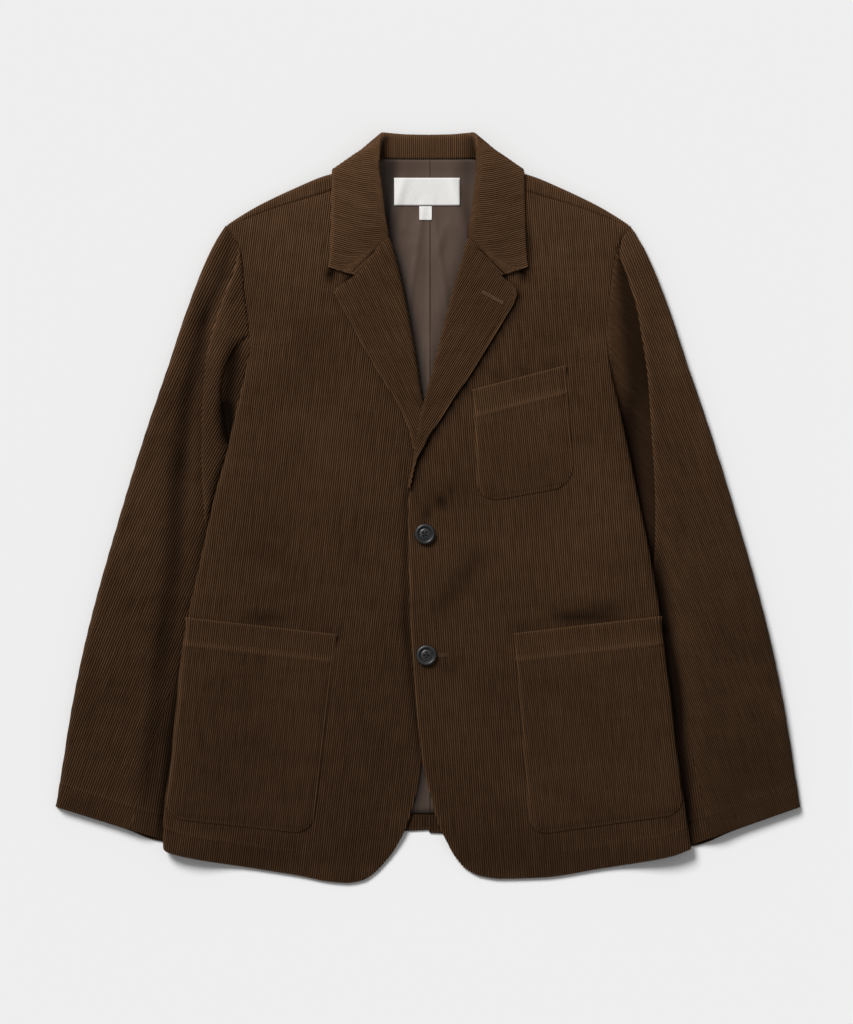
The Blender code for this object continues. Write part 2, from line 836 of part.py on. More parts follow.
def back_points(side):
    """Outer face of half the back: up along the surface, round the shoulder to its seam."""
    centre = CENTRE_SEAM_OUT[side] + 0.5 * SEAM_GAP
    across = (np.array(BACK_COLUMNS) - BACK_COLUMNS[0]) / (BACK_COLUMNS[-1] - BACK_COLUMNS[0])
    top_out = centre + across * (SHOULDER_TIP - centre)
    up = rows_up(BACK_ROWS)
    high_y = shoulder_line(top_out) - SHOULDER_ROLL
    low_y = BACK_HEM[side][-1].y
    hem = (Spot(centre, BACK_HEM[side][0].y),) + BACK_HEM[side][1:]

    def margin(height):
        return LAY_MARGIN * smoothstep(height, MARGIN_DOWN)

    def high(part):
        return np.stack([np.interp(part, across, top_out), np.interp(part, across, high_y)], axis=-1)

    flat = fill(
        lambda part: along(hem, part),
        high,
        lambda part: upright(centre, hem[0].y, high_y[0], part),
        body_outer(side, low_y, margin),
        *np.meshgrid(across, up),
    )
    out, y = np.moveaxis(flat, -1, 0)
    rows = [to_world(side, out, y, underside(side, out, y))]
    line = shoulder_line(top_out)
    base = underside(side, top_out, line)
    for angle in np.radians(BACK_TURN):
        turn_y = line - SHOULDER_ROLL * (1.0 - math.sin(angle))
        height = base + HALF_HEIGHT * (1.0 - math.cos(angle))
        rows.append(to_world(side, top_out, turn_y, height)[None])
    seam_y = through([spot.out for spot in SHOULDER_SEAM], [spot.y for spot in SHOULDER_SEAM], top_out)
    strip = line - seam_y - SHOULDER_SEAM_GAP
    for part in BACK_STRIP:
        strip_y = line - strip * part * part
        rows.append(to_world(side, top_out, strip_y, front_top(side, top_out, strip_y))[None])
    return np.concatenate(rows)


def lining_points(side):
    """Upper face of half the lining."""
    centre = CENTRE_SEAM_OUT[side] + 0.5 * SEAM_GAP
    up = np.linspace(0.0, 1.0, LINING_ROWS)
    part = np.linspace(0.0, 1.0, LINING_COLUMNS)
    top_out = centre + part * (SHOULDER_TIP - LINING_INSET - centre)
    top_inset = LINING_NECK_INSET + LINING_INSET * smoothstep(top_out, LINING_NECK_OUT)
    top_y = shoulder_line(top_out) - top_inset

    def outer(share):
        y = LINING_HEM_Y + share * (top_y[-1] - LINING_HEM_Y)
        return np.stack([body_edge(side, y) - LINING_INSET, y], axis=-1)

    def low(share):
        reach = body_edge(side, LINING_HEM_Y) - LINING_INSET
        return np.stack([centre + share * (reach - centre), LINING_HEM_Y + 0.0 * share], axis=-1)

    def high(share):
        return np.stack([np.interp(share, part, top_out), np.interp(share, part, top_y)], axis=-1)

    flat = fill(
        low,
        high,
        lambda share: upright(centre, LINING_HEM_Y, top_y[0], share),
        outer,
        *np.meshgrid(part, up),
    )
    out, y = np.moveaxis(flat, -1, 0)
    return to_world(side, out, y, lining_top(side, out, y))


def sleeve_plan(side, across_of_width, seam_gap, inset):
    """Points of a sleeve seen from above, rows from the cuff to the head.

    seam_gap keeps it off the armhole and inset off the outer fold.
    """
    up = rows_up(SLEEVE_ROWS)

    def inner(part):
        y = CUFF_INNER_Y + part * (SLEEVE_HEAD_Y - CUFF_INNER_Y)
        tuck = (TUCK + seam_gap) * smoothstep(y, TUCK_DOWN)
        return np.stack([body_edge(side, y) + seam_gap - tuck, y], axis=-1)

    def outer(part):
        y = CUFF_OUTER_Y + part * (SLEEVE_HEAD[-1].y - CUFF_OUTER_Y)
        return np.stack([sleeve_edge(y) - inset, y], axis=-1)

    cuff = (Spot(*inner(0.0)), Spot(*outer(0.0)))
    head = (Spot(*inner(1.0)),) + SLEEVE_HEAD[:-1] + (Spot(*outer(1.0)),)
    width = np.linalg.norm(outer(up) - inner(up), axis=1)
    across = across_of_width(width)
    return fill(
        lambda part: along(cuff, part),
        lambda part: along(head, part),
        inner,
        outer,
        across,
        np.broadcast_to(up[:, None], across.shape),
    )


def lapel_points(side):
    """Outer face of a lapel, which rolls down round the front's edge on its inner side."""
    up = np.linspace(0.0, 1.0, LAPEL_ROWS)
    inner = along(ROLL_LINE[side], up)
    outer = along(LAPEL_EDGE[side], up)
    width = np.linalg.norm(outer - inner, axis=1)
    near = np.array(LAPEL_NEAR_ROLL)[None, :] * np.minimum(1.0, width / LAPEL_FULL)[:, None]
    rest = np.linspace(0.0, 1.0, LAPEL_COLUMNS)[None, :]
    close = near / width[:, None]
    across = np.concatenate([close[:, :-1], close[:, -1:] + (1.0 - close[:, -1:]) * rest], axis=1)
    low = (ROLL_LINE[side][0], LAPEL_EDGE[side][0])
    flat = fill(
        lambda part: along(low, part),
        lambda part: along(GORGE[side], part),
        lambda part: along(ROLL_LINE[side], part),
        lambda part: along(LAPEL_EDGE[side], part),
        across,
        np.broadcast_to(up[:, None], across.shape),
    )
    out, y = np.moveaxis(flat, -1, 0)
    from_roll = across * width[:, None]
    front = front_top(side, out, y)
    puff = LAPEL_PUFF * smoothstep(from_roll, LAPEL_PUFF_OUT)
    if side == RIGHT:
        puff = puff * smoothstep(y, UNDERLAP_PUFF_UP)
    plateau = front + PATCH_GAP + CLOTH + puff
    foot = front - CLOTH
    return to_world(side, out, y, foot + (plateau - foot) * roll(from_roll, LAPEL_ROLL))


def collar_points():
    """Middle of half the collar's wall: rows along the collar, columns from seam to edge."""
    table = np.array(COLLAR, float)
    rows, columns, _ = table.shape
    across = np.linspace(0.0, columns - 1.0, COLLAR_COLUMNS)
    down = np.linspace(0.0, rows - 1.0, COLLAR_ROWS)
    by_row = np.empty((rows, COLLAR_COLUMNS, 3))
    for row in range(rows):
        for axis in range(3):
            by_row[row, :, axis] = through(range(columns), table[row, :, axis], across)
    points = np.empty((COLLAR_ROWS, COLLAR_COLUMNS, 3))
    for column in range(COLLAR_COLUMNS):
        for axis in range(3):
            points[:, column, axis] = through(range(rows), by_row[:, column, axis], down)
    return points


def pocket_points(pocket):
    """Outer face of a patch pocket, moved out from the front along its normals."""
    side = pocket.side
    height = pocket.top_in.y - pocket.low_in.y
    low_rows = pocket.corner * np.array(POCKET_CORNER_ROWS)
    rise = np.concatenate([low_rows, np.linspace(pocket.corner, height, POCKET_ROWS)])
    up = (rise / height)[:, None]
    round_off = pocket.corner - np.sqrt(np.maximum(pocket.corner**2 - (pocket.corner - rise) ** 2, 0.0))
    round_off = np.where(rise < pocket.corner, round_off, 0.0)[:, None]
    low_in = np.array(pocket.low_in)
    low_out = np.array(pocket.low_out)
    inner = low_in + up * (np.array(pocket.top_in) - low_in)
    outer = low_out + up * (np.array(pocket.top_out) - low_out)
    if pocket.to_side:
        outer[:, 0] = body_edge(side, outer[:, 1]) - POCKET_FROM_EDGE
    run = outer - inner
    length = np.linalg.norm(run, axis=1, keepdims=True)
    inner = inner + run / length * round_off
    outer = outer - run / length * round_off
    width = np.linalg.norm(outer - inner, axis=1)
    across = columns_to_edge(width, POCKET_NEAR_EDGE, POCKET_COLUMNS)[..., None]
    flat = (1.0 - across) * inner[:, None] + across * outer[:, None]
    out, y = np.moveaxis(flat, -1, 0)
    slope_out = (front_top(side, out + STEP, y) - front_top(side, out - STEP, y)) / (2.0 * STEP)
    slope_y = (front_top(side, out, y + STEP) - front_top(side, out, y - STEP)) / (2.0 * STEP)
    normal = np.stack([-slope_out, -slope_y, np.ones_like(out)], axis=-1)
    normal = normal / np.linalg.norm(normal, axis=-1, keepdims=True)
    moved = np.stack([out, y, front_top(side, out, y)], axis=-1) + normal * (PATCH_GAP + POCKET_CLOTH)
    return to_world(side, moved[..., 0], moved[..., 1], moved[..., 2])


def rectangle_points(middle, size, height, rows, columns):
    """Upper face of a small flat piece that lies on the lining."""
    x = middle[0] + size[0] * np.linspace(-0.5, 0.5, columns)
    y = middle[1] + size[1] * np.linspace(-0.5, 0.5, rows)
    x, y = np.meshgrid(x, y)
    return np.stack([x, y, lining_top(LEFT, np.abs(x), y) + height], axis=-1)


def add_fronts(collection, finish):
    """The two fronts: the left one laps over the right one."""
    for side in (LEFT, RIGHT):
        add_sheet(collection, f"front_{SIDE_NAME[side]}", front_points(side), CLOTH, finish, side)


def add_backs(collection, finish):
    """The two halves of the back, which wrap forward over the shoulders to the seams."""
    neck_columns = sum(out < NECK_HALF for out in BACK_COLUMNS)

    def neck_hole(row, column):
        return row >= BACK_ROWS - 1 and column < neck_columns

    for side in (LEFT, RIGHT):
        name = f"back_{SIDE_NAME[side]}"
        add_sheet(collection, name, back_points(side), CLOTH, finish, -side, neck_hole)


def add_lining(collection, finish):
    """The two halves of the back lining."""
    for side in (LEFT, RIGHT):
        name = f"lining_{SIDE_NAME[side]}"
        add_sheet(collection, name, lining_points(side), LINING_CLOTH, finish, side)


def add_sleeves(collection, finish):
    """Two-piece sleeves: the upper piece arches over the flat under piece."""

    def top_columns(width):
        return columns_to_edge(width, SLEEVE_NEAR_EDGE, SLEEVE_COLUMNS)

    def under_columns(width):
        return np.tile(np.linspace(0.0, 1.0, UNDER_COLUMNS), (len(width), 1))

    for side in (LEFT, RIGHT):
        out, y = np.moveaxis(sleeve_plan(side, top_columns, SEAM_GAP, 0.0), -1, 0)
        top = to_world(side, out, y, sleeve_top(side, out, y))
        add_sheet(collection, f"sleeve_top_{SIDE_NAME[side]}", top, CLOTH, finish, side)
        out, y = np.moveaxis(sleeve_plan(side, under_columns, UNDER_SEAM_GAP, LAY_MARGIN), -1, 0)
        under = to_world(side, out, y, 0.0)
        add_sheet(collection, f"sleeve_under_{SIDE_NAME[side]}", under, CLOTH, finish, -side)


def add_lapels(collection, finish):
    """The lapels, turned back onto the fronts along their roll lines."""
    for side in (LEFT, RIGHT):
        add_sheet(collection, f"lapel_{SIDE_NAME[side]}", lapel_points(side), CLOTH, finish, side)


def add_collar(collection, finish):
    """The collar: its stand inside the neck and its leaf round the outside, in one wall."""
    half = add_sheet(collection, "collar", collar_points(), CLOTH, finish, 1)
    half.modifiers["cloth"].offset = 0.0
    half.modifiers["cloth"].use_even_offset = False
    mirror = half.modifiers.new("other half", "MIRROR")
    mirror.use_axis = (True, False, False)
    mirror.merge_threshold = MERGE
    half.modifiers.move(1, 0)


def add_pockets(collection, finish):
    """The three patch pockets, each made from the points of its front."""
    for name, pocket in POCKETS.items():
        add_sheet(collection, name, pocket_points(pocket), POCKET_CLOTH, finish, pocket.side)


def button_profile():
    """Half section of a button, from the middle of its dish round its rim to its underside."""
    radius = BUTTON_RADIUS * MM
    thick = BUTTON_THICK * MM
    return [(radius * part.across, 0.0, thick * part.up) for part in BUTTON_SHAPE]


def add_buttons(collection, cutters, finish):
    """Two four-hole buttons on the lapped front edge."""
    for name, spot in BUTTONS.items():
        mesh = bpy.data.meshes.new(name)
        profile = button_profile()
        mesh.from_pydata(profile, [(i, i + 1) for i in range(len(profile) - 1)], [])
        button = new_object(collection, name, mesh, finish)
        seat = float(front_top(LEFT, np.array(spot.out), np.array(spot.y))) + BUTTON_SEAT
        button.location = (spot.out * MM, spot.y * MM, seat * MM)
        turn = button.modifiers.new("turn", "SCREW")
        turn.steps = BUTTON_SIDES
        turn.render_steps = BUTTON_SIDES
        turn.use_merge_vertices = True
        turn.merge_threshold = MERGE
        for index in range(BUTTON_HOLES):
            angle = math.tau * (index + 0.5) / BUTTON_HOLES
            ring = BUTTON_HOLE_RING * MM
            bpy.ops.mesh.primitive_cylinder_add(
                vertices=BUTTON_HOLE_SIDES,
                radius=BUTTON_HOLE_RADIUS * MM,
                depth=DRILL_DEPTH * MM,
                location=(
                    button.location.x + ring * math.cos(angle),
                    button.location.y + ring * math.sin(angle),
                    button.location.z,
                ),
            )
            drill = bpy.context.object
            drill.name = f"{name}_hole_{index + 1}"
            for owner in list(drill.users_collection):
                owner.objects.unlink(drill)
            cutters.objects.link(drill)
            drill.hide_render = True
            drill.display_type = "WIRE"
            hole = button.modifiers.new(drill.name, "BOOLEAN")
            hole.operation = "DIFFERENCE"
            hole.object = drill


def add_labels(collection, finish):
    """The plain neck label and the plain tab below it."""
    label = rectangle_points(LABEL_MIDDLE, LABEL_SIZE, SEAT_GAP + LABEL_CLOTH, *LABEL_GRID)
    add_sheet(collection, "neck_label", label, LABEL_CLOTH, finish, 1)
    tab = rectangle_points(TAB_MIDDLE, TAB_SIZE, SEAT_GAP + LABEL_CLOTH, *TAB_GRID)
    add_sheet(collection, "size_tab", tab, LABEL_CLOTH, finish, 1)


def new_collection(name):
    """Collection linked to the scene."""
    made = bpy.data.collections.new(name)
    bpy.context.scene.collection.children.link(made)
    return made


def build():
    """Make every piece of the jacket."""
    for leftover in list(bpy.data.objects):
        bpy.data.objects.remove(leftover, do_unlink=True)
    jacket = new_collection("corduroy_jacket")
    cutters = new_collection("cutters")
    corduroy = material("corduroy")
    satin = material("lining_satin")
    resin = material("button_resin")
    tape = material("label_tape")
    add_backs(jacket, corduroy)
    add_lining(jacket, satin)
    add_sleeves(jacket, corduroy)
    add_fronts(jacket, corduroy)
    add_lapels(jacket, corduroy)
    add_collar(jacket, corduroy)
    add_pockets(jacket, corduroy)
    add_buttons(jacket, cutters, resin)
    add_labels(jacket, tape)


build()
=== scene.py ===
"""Looks of a single-breasted corduroy jacket that lies flat on its back with its buttons fastened.

Every cloth piece is a thin shell on its solid's form.  Its mesh runs along the wales of the
corduroy, three columns to a wale, so the ribs are real relief, and the same wale count drives
the colour of the pile.  Sizes are in millimetres until a mesh is placed, in the frame's axes:
+Z up from the surface, +Y towards the collar, +X towards the wearer's left.  A side is worked
out in its own half, where "out" is the distance from the centre line towards its sleeve.
"""

import logging
import math
from dataclasses import dataclass, field
from enum import Enum
from typing import Any, Callable, NamedTuple, Sequence

import bmesh
import bpy
import numpy as np
from mathutils import Matrix, Vector


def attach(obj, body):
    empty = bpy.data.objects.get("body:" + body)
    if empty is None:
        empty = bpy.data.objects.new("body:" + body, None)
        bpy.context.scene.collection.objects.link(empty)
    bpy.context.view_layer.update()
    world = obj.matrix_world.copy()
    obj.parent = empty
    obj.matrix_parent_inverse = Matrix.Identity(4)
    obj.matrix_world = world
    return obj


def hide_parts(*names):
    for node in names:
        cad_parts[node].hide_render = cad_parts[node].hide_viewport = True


LOG = logging.getLogger("corduroy_jacket")
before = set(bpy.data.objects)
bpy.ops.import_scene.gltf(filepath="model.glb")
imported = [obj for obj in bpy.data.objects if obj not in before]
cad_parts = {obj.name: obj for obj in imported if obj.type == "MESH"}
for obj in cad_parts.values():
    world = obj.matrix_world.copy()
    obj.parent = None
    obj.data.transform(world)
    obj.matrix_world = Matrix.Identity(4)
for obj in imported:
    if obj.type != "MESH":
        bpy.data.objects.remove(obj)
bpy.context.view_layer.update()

MM = 0.001
Array = np.ndarray
Curve = Callable[[Array], Array]
Face = Callable[["Side", Array, Array], Array]
Material = bpy.types.Material
Mesh = bpy.types.Mesh
Object = bpy.types.Object
Socket = bpy.types.NodeSocket
Colour = tuple[float, float, float]


class Side(Enum):
    """The wearer's sides; the value is the sign of X."""

    LEFT = 1
    RIGHT = -1

    @property
    def word(self) -> str:
        """The side in names of pieces and nodes."""
        return self.name.lower()


def by_side(left: Any, right: Any) -> Any:
    """Field of a dataclass that holds a value for each side."""
    return field(default_factory=lambda: {Side.LEFT: left, Side.RIGHT: right})


class Slot(Enum):
    """Names of the material slots."""

    CORDUROY = "corduroy"
    LINING = "lining"
    BUTTON = "button"
    LABEL = "label"


class Ease(NamedTuple):
    """Where a smooth change starts and where it is complete."""

    start: float
    end: float


class Width(NamedTuple):
    """Half width of each side at one height."""

    y: float
    left: float
    right: float


class Spot(NamedTuple):
    """A point of an edge, seen from above."""

    out: float
    y: float


class Fold(NamedTuple):
    """A soft crease or ridge (positive height) along a straight line, seen from above."""

    out_a: float
    y_a: float
    out_b: float
    y_b: float
    width: float
    height: float


class CollarRow(NamedTuple):
    """One section across the collar, from the neck seam over the fold to the leaf's edge."""

    seam: tuple
    stand: tuple
    rise: tuple
    fold: tuple
    turn: tuple
    leaf: tuple
    edge: tuple


class Cut(NamedTuple):
    """Flat size of a cloth piece in metres, and its area where it isn't a rectangle."""

    width: float
    length: float
    area: float | None = None


class PatchPocket(NamedTuple):
    """A patch pocket: its four corners, how round its lower ones are, and its front's side."""

    side: Side
    top_in: Spot
    top_out: Spot
    low_in: Spot
    low_out: Spot
    corner: float
    to_side: bool
    cut: tuple


def table(kind: type, *rows: tuple) -> tuple:
    """Rows of one kind, made from plain numbers."""
    return tuple(kind(*row) for row in rows)


# Side edge and armhole of the body, from the hem to the top of the armhole
BODY_EDGE = table(
    Width, (-362, 277.0, 278.0), (-322, 271.0, 277.5), (-265, 262.5, 270.0), (-212, 256.5, 265.0),
    (-139, 247.0, 257.0), (-97, 241.5, 248.5), (-60, 235.0, 240.0), (-23, 228.0, 232.0),
    (19, 219.0, 222.5), (61, 210.5, 210.5), (100, 202.0, 202.0), (129, 195.5, 195.0),
    (150, 190.5, 190.0), (171, 188.0, 186.5), (197, 188.0, 188.5), (229, 191.0, 193.0),
    (258, 195.0, 194.5), (276, 200.0, 198.5), (285, 204.5, 203.5), (293, 211.0, 211.0),
)
SHOULDER_LINE = table(
    Spot, (0, 370.0), (60, 370.0), (71, 361.0), (84, 354.5), (102, 350.5), (112, 347.5), (137, 337.0),
    (178, 317.5), (200, 304.5), (212, 296.5),
)
SHOULDER_SEAM = table(Spot, (72, 343.0), (104, 331.5), (160, 314.5), (197, 300.5), (212, 293.5))
FRONT_EDGE = {
    Side.LEFT: table(
        Spot, (28.4, -366.5), (20.0, -350.7), (12.6, -335.5), (7.2, -320.0), (4.4, -307.0),
        (0.9, -295.0), (-2.3, -284.0), (-5.3, -269.0), (-8.2, -248.0), (-12.6, -202.0), (-16.8, -149.0),
        (-18.9, -97.0), (-20.6, -20.0), (-20.4, 8.0), (-18.8, 20.0), (-13.4, 45.0), (-9.7, 71.0),
        (-1.2, 113.0), (11.4, 161.0), (23.2, 208.0), (38.2, 255.0), (53.0, 284.0), (71.0, 306.0),
        (72.0, 343.0),
    ),
    Side.RIGHT: table(
        Spot, (43.0, -369.6), (32.6, -354.0), (24.2, -338.0), (16.0, -314.0), (9.5, -286.0),
        (4.5, -250.0), (-6.0, -200.0), (-13.0, -140.0), (-16.0, -80.0), (-16.0, 5.0), (-13.0, 30.0),
        (-5.8, 60.0), (1.4, 90.0), (8.7, 117.0), (13.7, 150.0), (22.1, 197.5), (33.4, 250.0),
        (51.0, 284.0), (71.0, 306.0), (72.0, 343.0),
    ),
}
FRONT_HEM = {
    Side.LEFT: table(
        Spot, (28.4, -366.5), (39.0, -378.5), (55.0, -386.6), (76.0, -389.6), (118.0, -388.5),
        (181.0, -379.0), (233.0, -370.5), (258.0, -365.0), (277.0, -357.5),
    ),
    Side.RIGHT: table(
        Spot, (43.0, -369.6), (55.7, -383.0), (69.5, -391.5), (85.0, -394.0), (103.0, -392.7),
        (134.0, -386.6), (187.0, -378.0), (240.0, -369.6), (266.0, -363.9), (275.0, -360.6),
        (278.0, -357.6),
    ),
}
BACK_HEM = {
    Side.LEFT: table(Spot, (0, -340.5), (150, -345.0), (276, -356.5)),
    Side.RIGHT: table(Spot, (0, -337.5), (150, -345.0), (274.5, -358.5)),
}
SLEEVE_EDGE = table(
    Spot, (390.6, -313.5), (384.5, -275), (374.5, -212), (361.8, -149), (346.0, -86), (330.0, -30),
    (315.5, 19), (294.0, 87), (272.5, 150), (255.0, 203), (240.0, 243), (225.0, 276), (212.6, 296.3),
)
# Line beside each armhole where the sleeve folds over itself, from low to high
SLEEVE_FOLD_LINE = {
    Side.LEFT: table(
        Spot, (222.0, -115.0), (229.5, -88.0), (237.0, -58.0), (238.4, -30.0), (238.6, -5.3),
        (237.4, 34.3), (234.9, 70.5), (232.5, 106.3), (230.5, 134.4), (227.5, 158.6), (223.4, 182.7),
        (219.0, 208.5), (212.5, 230.9), (205.5, 252.0), (200.5, 266.0), (198.2, 280.0),
    ),
    Side.RIGHT: table(
        Spot, (229.0, -55.0), (232.5, -35.0), (234.7, -15.0), (236.3, 11.2), (237.8, 44.0),
        (237.8, 77.0), (237.1, 110.0), (233.8, 152.9), (226.3, 185.8), (213.1, 225.3), (203.0, 252.0),
        (198.5, 272.0),
    ),
}
# Open hollow of the right armpit, between the body and the folded ridge
SLEEVE_GAP = table(
    Spot, (180.0, 46.0), (209.0, 70.0), (214.0, 98.0), (217.0, 124.0), (214.5, 141.0), (207.0, 158.0),
    (198.0, 173.0), (180.0, 187.0),
)
# Seam of the two sleeve pieces where it comes round to the face, from the cuff up
SLEEVE_SEAM = {
    Side.LEFT: table(
        Spot, (306.0, -365.0), (299.5, -344.4), (292.7, -326.6), (283.9, -286.4), (268.8, -231.0),
        (255.0, -180.0), (238.0, -120.0), (150.0, -100.0),
    ),
    Side.RIGHT: table(
        Spot, (318.0, -362.0), (309.2, -324.8), (299.0, -287.0), (290.1, -257.6), (280.0, -224.0),
        (266.0, -180.0), (246.0, -120.0), (150.0, -100.0),
    ),
}
ROLL_LINE = {
    Side.LEFT: table(
        Spot, (-22.5, 19.0), (-16.5, 45.0), (-12.6, 71.4), (-8.4, 98.0), (-2.0, 122.0), (8.4, 161.0),
        (20.0, 208.0), (33.4, 255.0), (40.6, 283.0),
    ),
    Side.RIGHT: table(
        Spot, (-16.0, 30.0), (-9.0, 60.0), (-2.0, 90.0), (5.3, 117.0), (10.5, 150.0), (18.9, 197.5),
        (30.0, 250.0), (39.4, 283.0),
    ),
}
# Free edge of each lapel from its foot up to the tip, then the gorge seam up to the collar
LAPEL_EDGE = {
    Side.LEFT: table(
        Spot, (-19.0, 21.0), (-14.0, 45.0), (-6.0, 62.0), (2.1, 77.0), (12.6, 92.4), (33.6, 124.0),
        (54.6, 155.4), (70.4, 182.0), (81.0, 199.5), (93.4, 226.0), (77.0, 243.4), (66.8, 254.4),
        (58.6, 264.4), (50.4, 275.0), (43.4, 283.0),
    ),
    Side.RIGHT: table(
        Spot, (-12.0, 31.5), (1.0, 40.0), (11.0, 50.0), (15.5, 63.0), (20.0, 82.0), (29.4, 105.0),
        (50.4, 139.0), (71.4, 175.5), (90.3, 211.0), (98.5, 226.0), (77.2, 243.4), (67.0, 253.6),
        (59.7, 264.0), (51.4, 275.0), (43.6, 283.0),
    ),
}
# Sections of half the collar, from the middle of the back to the end of the leaf
COLLAR = table(
    CollarRow,
    (
        (0, 366, 9.2), (0, 378, 9.6), (0, 386.4, 9.2), (0, 391.0, 5.4),
        (0, 386.4, 1.5), (0, 365, 1.2), (0, 345, 1.2),
    ),
    (
        (22, 366, 9.2), (22, 378.4, 9.8), (22, 387, 9.3), (22, 391.4, 5.6),
        (23, 386.8, 1.5), (25, 365.5, 1.2), (27, 344.5, 1.2),
    ),
    (
        (42, 366.5, 9.4), (40, 379, 10.5), (40, 388.6, 10.5), (41, 392.8, 7.0),
        (44, 387, 1.8), (52, 364, 1.2), (60, 340, 1.2),
    ),
    (
        (54, 366, 9.8), (47.6, 377, 12.0), (45.6, 388.6, 14.0), (47.4, 393.2, 11.0),
        (54, 385.5, 3.0), (70, 365, 1.4), (88, 341, 1.2),
    ),
    (
        (57.5, 364.5, 10.0), (51, 374.5, 12.7), (48, 386, 15.5), (50.3, 391, 13.8),
        (57.5, 386, 5.6), (75.5, 370.5, 3.2), (95, 355, 2.2),
    ),
    (
        (60, 363, 10.2), (53, 372, 13.5), (49, 383, 17.0), (51.5, 389.5, 15.5),
        (59, 382.5, 10.5), (77, 370.8, 8.5), (98.5, 355.8, 7.5),
    ),
    (
        (64, 356, 10.4), (56, 362, 14.0), (50.5, 370, 18.0), (51.5, 379, 20.0),
        (58, 376, 19.5), (78, 365, 17.2), (101, 350, 14.4),
    ),
    (
        (66, 346, 10.4), (57, 349, 13.6), (51.5, 354, 17.6), (51.5, 360, 20.6),
        (57, 358, 20.6), (77, 349, 18.0), (101, 336, 14.0),
    ),
    (
        (66, 330, 10.4), (57, 331, 13.2), (50, 333, 16.8), (48.8, 335, 20.0),
        (53.5, 335, 20.8), (76, 328, 17.8), (101.5, 315, 14.0),
    ),
    (
        (62.5, 309, 11.4), (54, 308.5, 13.0), (47, 308, 15.8), (45.5, 307, 18.8),
        (50, 307, 19.6), (75, 301, 16.8), (102, 290, 13.8),
    ),
    (
        (43.4, 286.4, 11.6), (42.2, 286.2, 12.6), (41.6, 286.0, 13.8), (42.8, 285.8, 15.2),
        (48.5, 285.0, 15.8), (75, 280, 14.8), (103, 272, 13.4),
    ),
    (
        (57.0, 265.0, 11.6), (58.4, 265.3, 12.0), (60.0, 265.6, 12.4), (62.0, 265.7, 12.8),
        (65, 265.4, 13.0), (83, 263, 13.3), (104, 259, 13.0),
    ),
    (
        (77.0, 243.8, 12.0), (78.6, 244.4, 12.4), (80.4, 245.0, 12.7), (82.5, 245.5, 12.8),
        (85.5, 246.3, 12.9), (94, 249, 12.9), (105, 252.5, 12.9),
    ),
)
POCKETS = {
    "chest_pocket": PatchPocket(
        Side.LEFT, Spot(46.2, 124.0), Spot(144.5, 149.5), Spot(52.5, 4.7), Spot(153.5, 23.0),
        22.0, False, (0.105, 0.13),
    ),
    "hip_pocket_left": PatchPocket(
        Side.LEFT, Spot(89.5, -131.5), Spot(243.0, -113.5), Spot(107.0, -344.0),
        Spot(268.0, -321.0), 20.0, True, (0.17, 0.235),
    ),
    "hip_pocket_right": PatchPocket(
        Side.RIGHT, Spot(96.0, -132.5), Spot(255.0, -114.5), Spot(121.0, -342.5),
        Spot(275.0, -325.5), 20.0, True, (0.17, 0.235),
    ),
}
BUTTONS = {"button_upper": Spot(-3.2, -27.3), "button_lower": Spot(-1.6, -154.4)}

# The large folds that the solids have
BODY_FOLDS = {
    Side.LEFT: table(
        Fold, (45, -55, 185, -98, 16, 1.4), (20, 10, 80, -30, 11, -1.2), (90, 200, 150, 60, 26, 0.9),
    ),
    Side.RIGHT: table(Fold, (60, 190, 110, 40, 26, 1.0), (120, -20, 205, -70, 18, -0.8)),
}
SLEEVE_FOLDS = {
    Side.LEFT: table(
        Fold, (222, 232, 234, 100, 11, 3.6), (205, 225, 206, 120, 9, -3.2),
        (262, 120, 330, -180, 20, -2.2), (290, 60, 300, -60, 14, 1.6), (330, -110, 300, -260, 18, -1.6),
    ),
    Side.RIGHT: table(
        Fold, (212, 236, 205, 160, 10, 3.0), (222, 262, 241, 170, 12, -4.0),
        (240, 170, 262, -20, 15, -3.6), (255, 150, 300, -60, 16, 1.8), (315, -90, 300, -270, 18, -1.6),
    ),
}
# Smaller creases, which the solids leave out
BODY_CREASES = {
    Side.LEFT: table(
        Fold, (-8, -9, 30, 20, 5, -1.2), (0, -22, 36, 5, 5, 0.9), (4, -118, 64, -38, 15, -0.9),
        (60, -70, 175, -118, 9, -0.5), (150, 100, 190, 10, 16, -0.6), (100, 260, 170, 215, 18, 0.6),
        (175, 215, 150, 120, 12, -0.5),
    ),
    Side.RIGHT: table(
        Fold, (30, 20, 95, -30, 12, 0.5), (25, -60, 90, -120, 16, -0.2), (150, 110, 196, 20, 15, -0.6),
        (95, 265, 170, 225, 18, 0.6), (120, 150, 150, 40, 14, -0.2), (40, -190, 80, -330, 20, 0.5),
    ),
}
SLEEVE_CREASES = {
    Side.LEFT: table(
        Fold, (232, 210, 262, 160, 7, -0.8), (268, 40, 318, 10, 9, -0.8), (285, -40, 335, -75, 11, 0.8),
        (300, -150, 352, -190, 12, -0.7), (280, -250, 340, -235, 14, 0.6),
    ),
    Side.RIGHT: table(
        Fold, (206, 284, 231, 196, 8, -1.3), (240, 262, 262, 176, 12, 1.4),
        (246, 190, 255, 60, 11, -2.8), (255, 64, 266, -58, 11, -3.2), (266, -58, 284, -195, 11, -2.5),
        (238, 90, 244, -60, 8, 1.5), (206, 142, 211, 84, 7, -3.0), (262, 70, 308, 30, 9, -0.8),
        (280, -20, 335, -60, 11, 0.8), (290, -130, 350, -170, 12, -0.7),
        (300, -270, 362, -250, 14, 0.6),
    ),
}
BACK_CREASES = table(
    Fold, (60, 240, 150, 130, 20, 0.7), (40, 20, 190, -60, 22, 0.6), (70, -150, 160, -230, 24, 0.7),
)
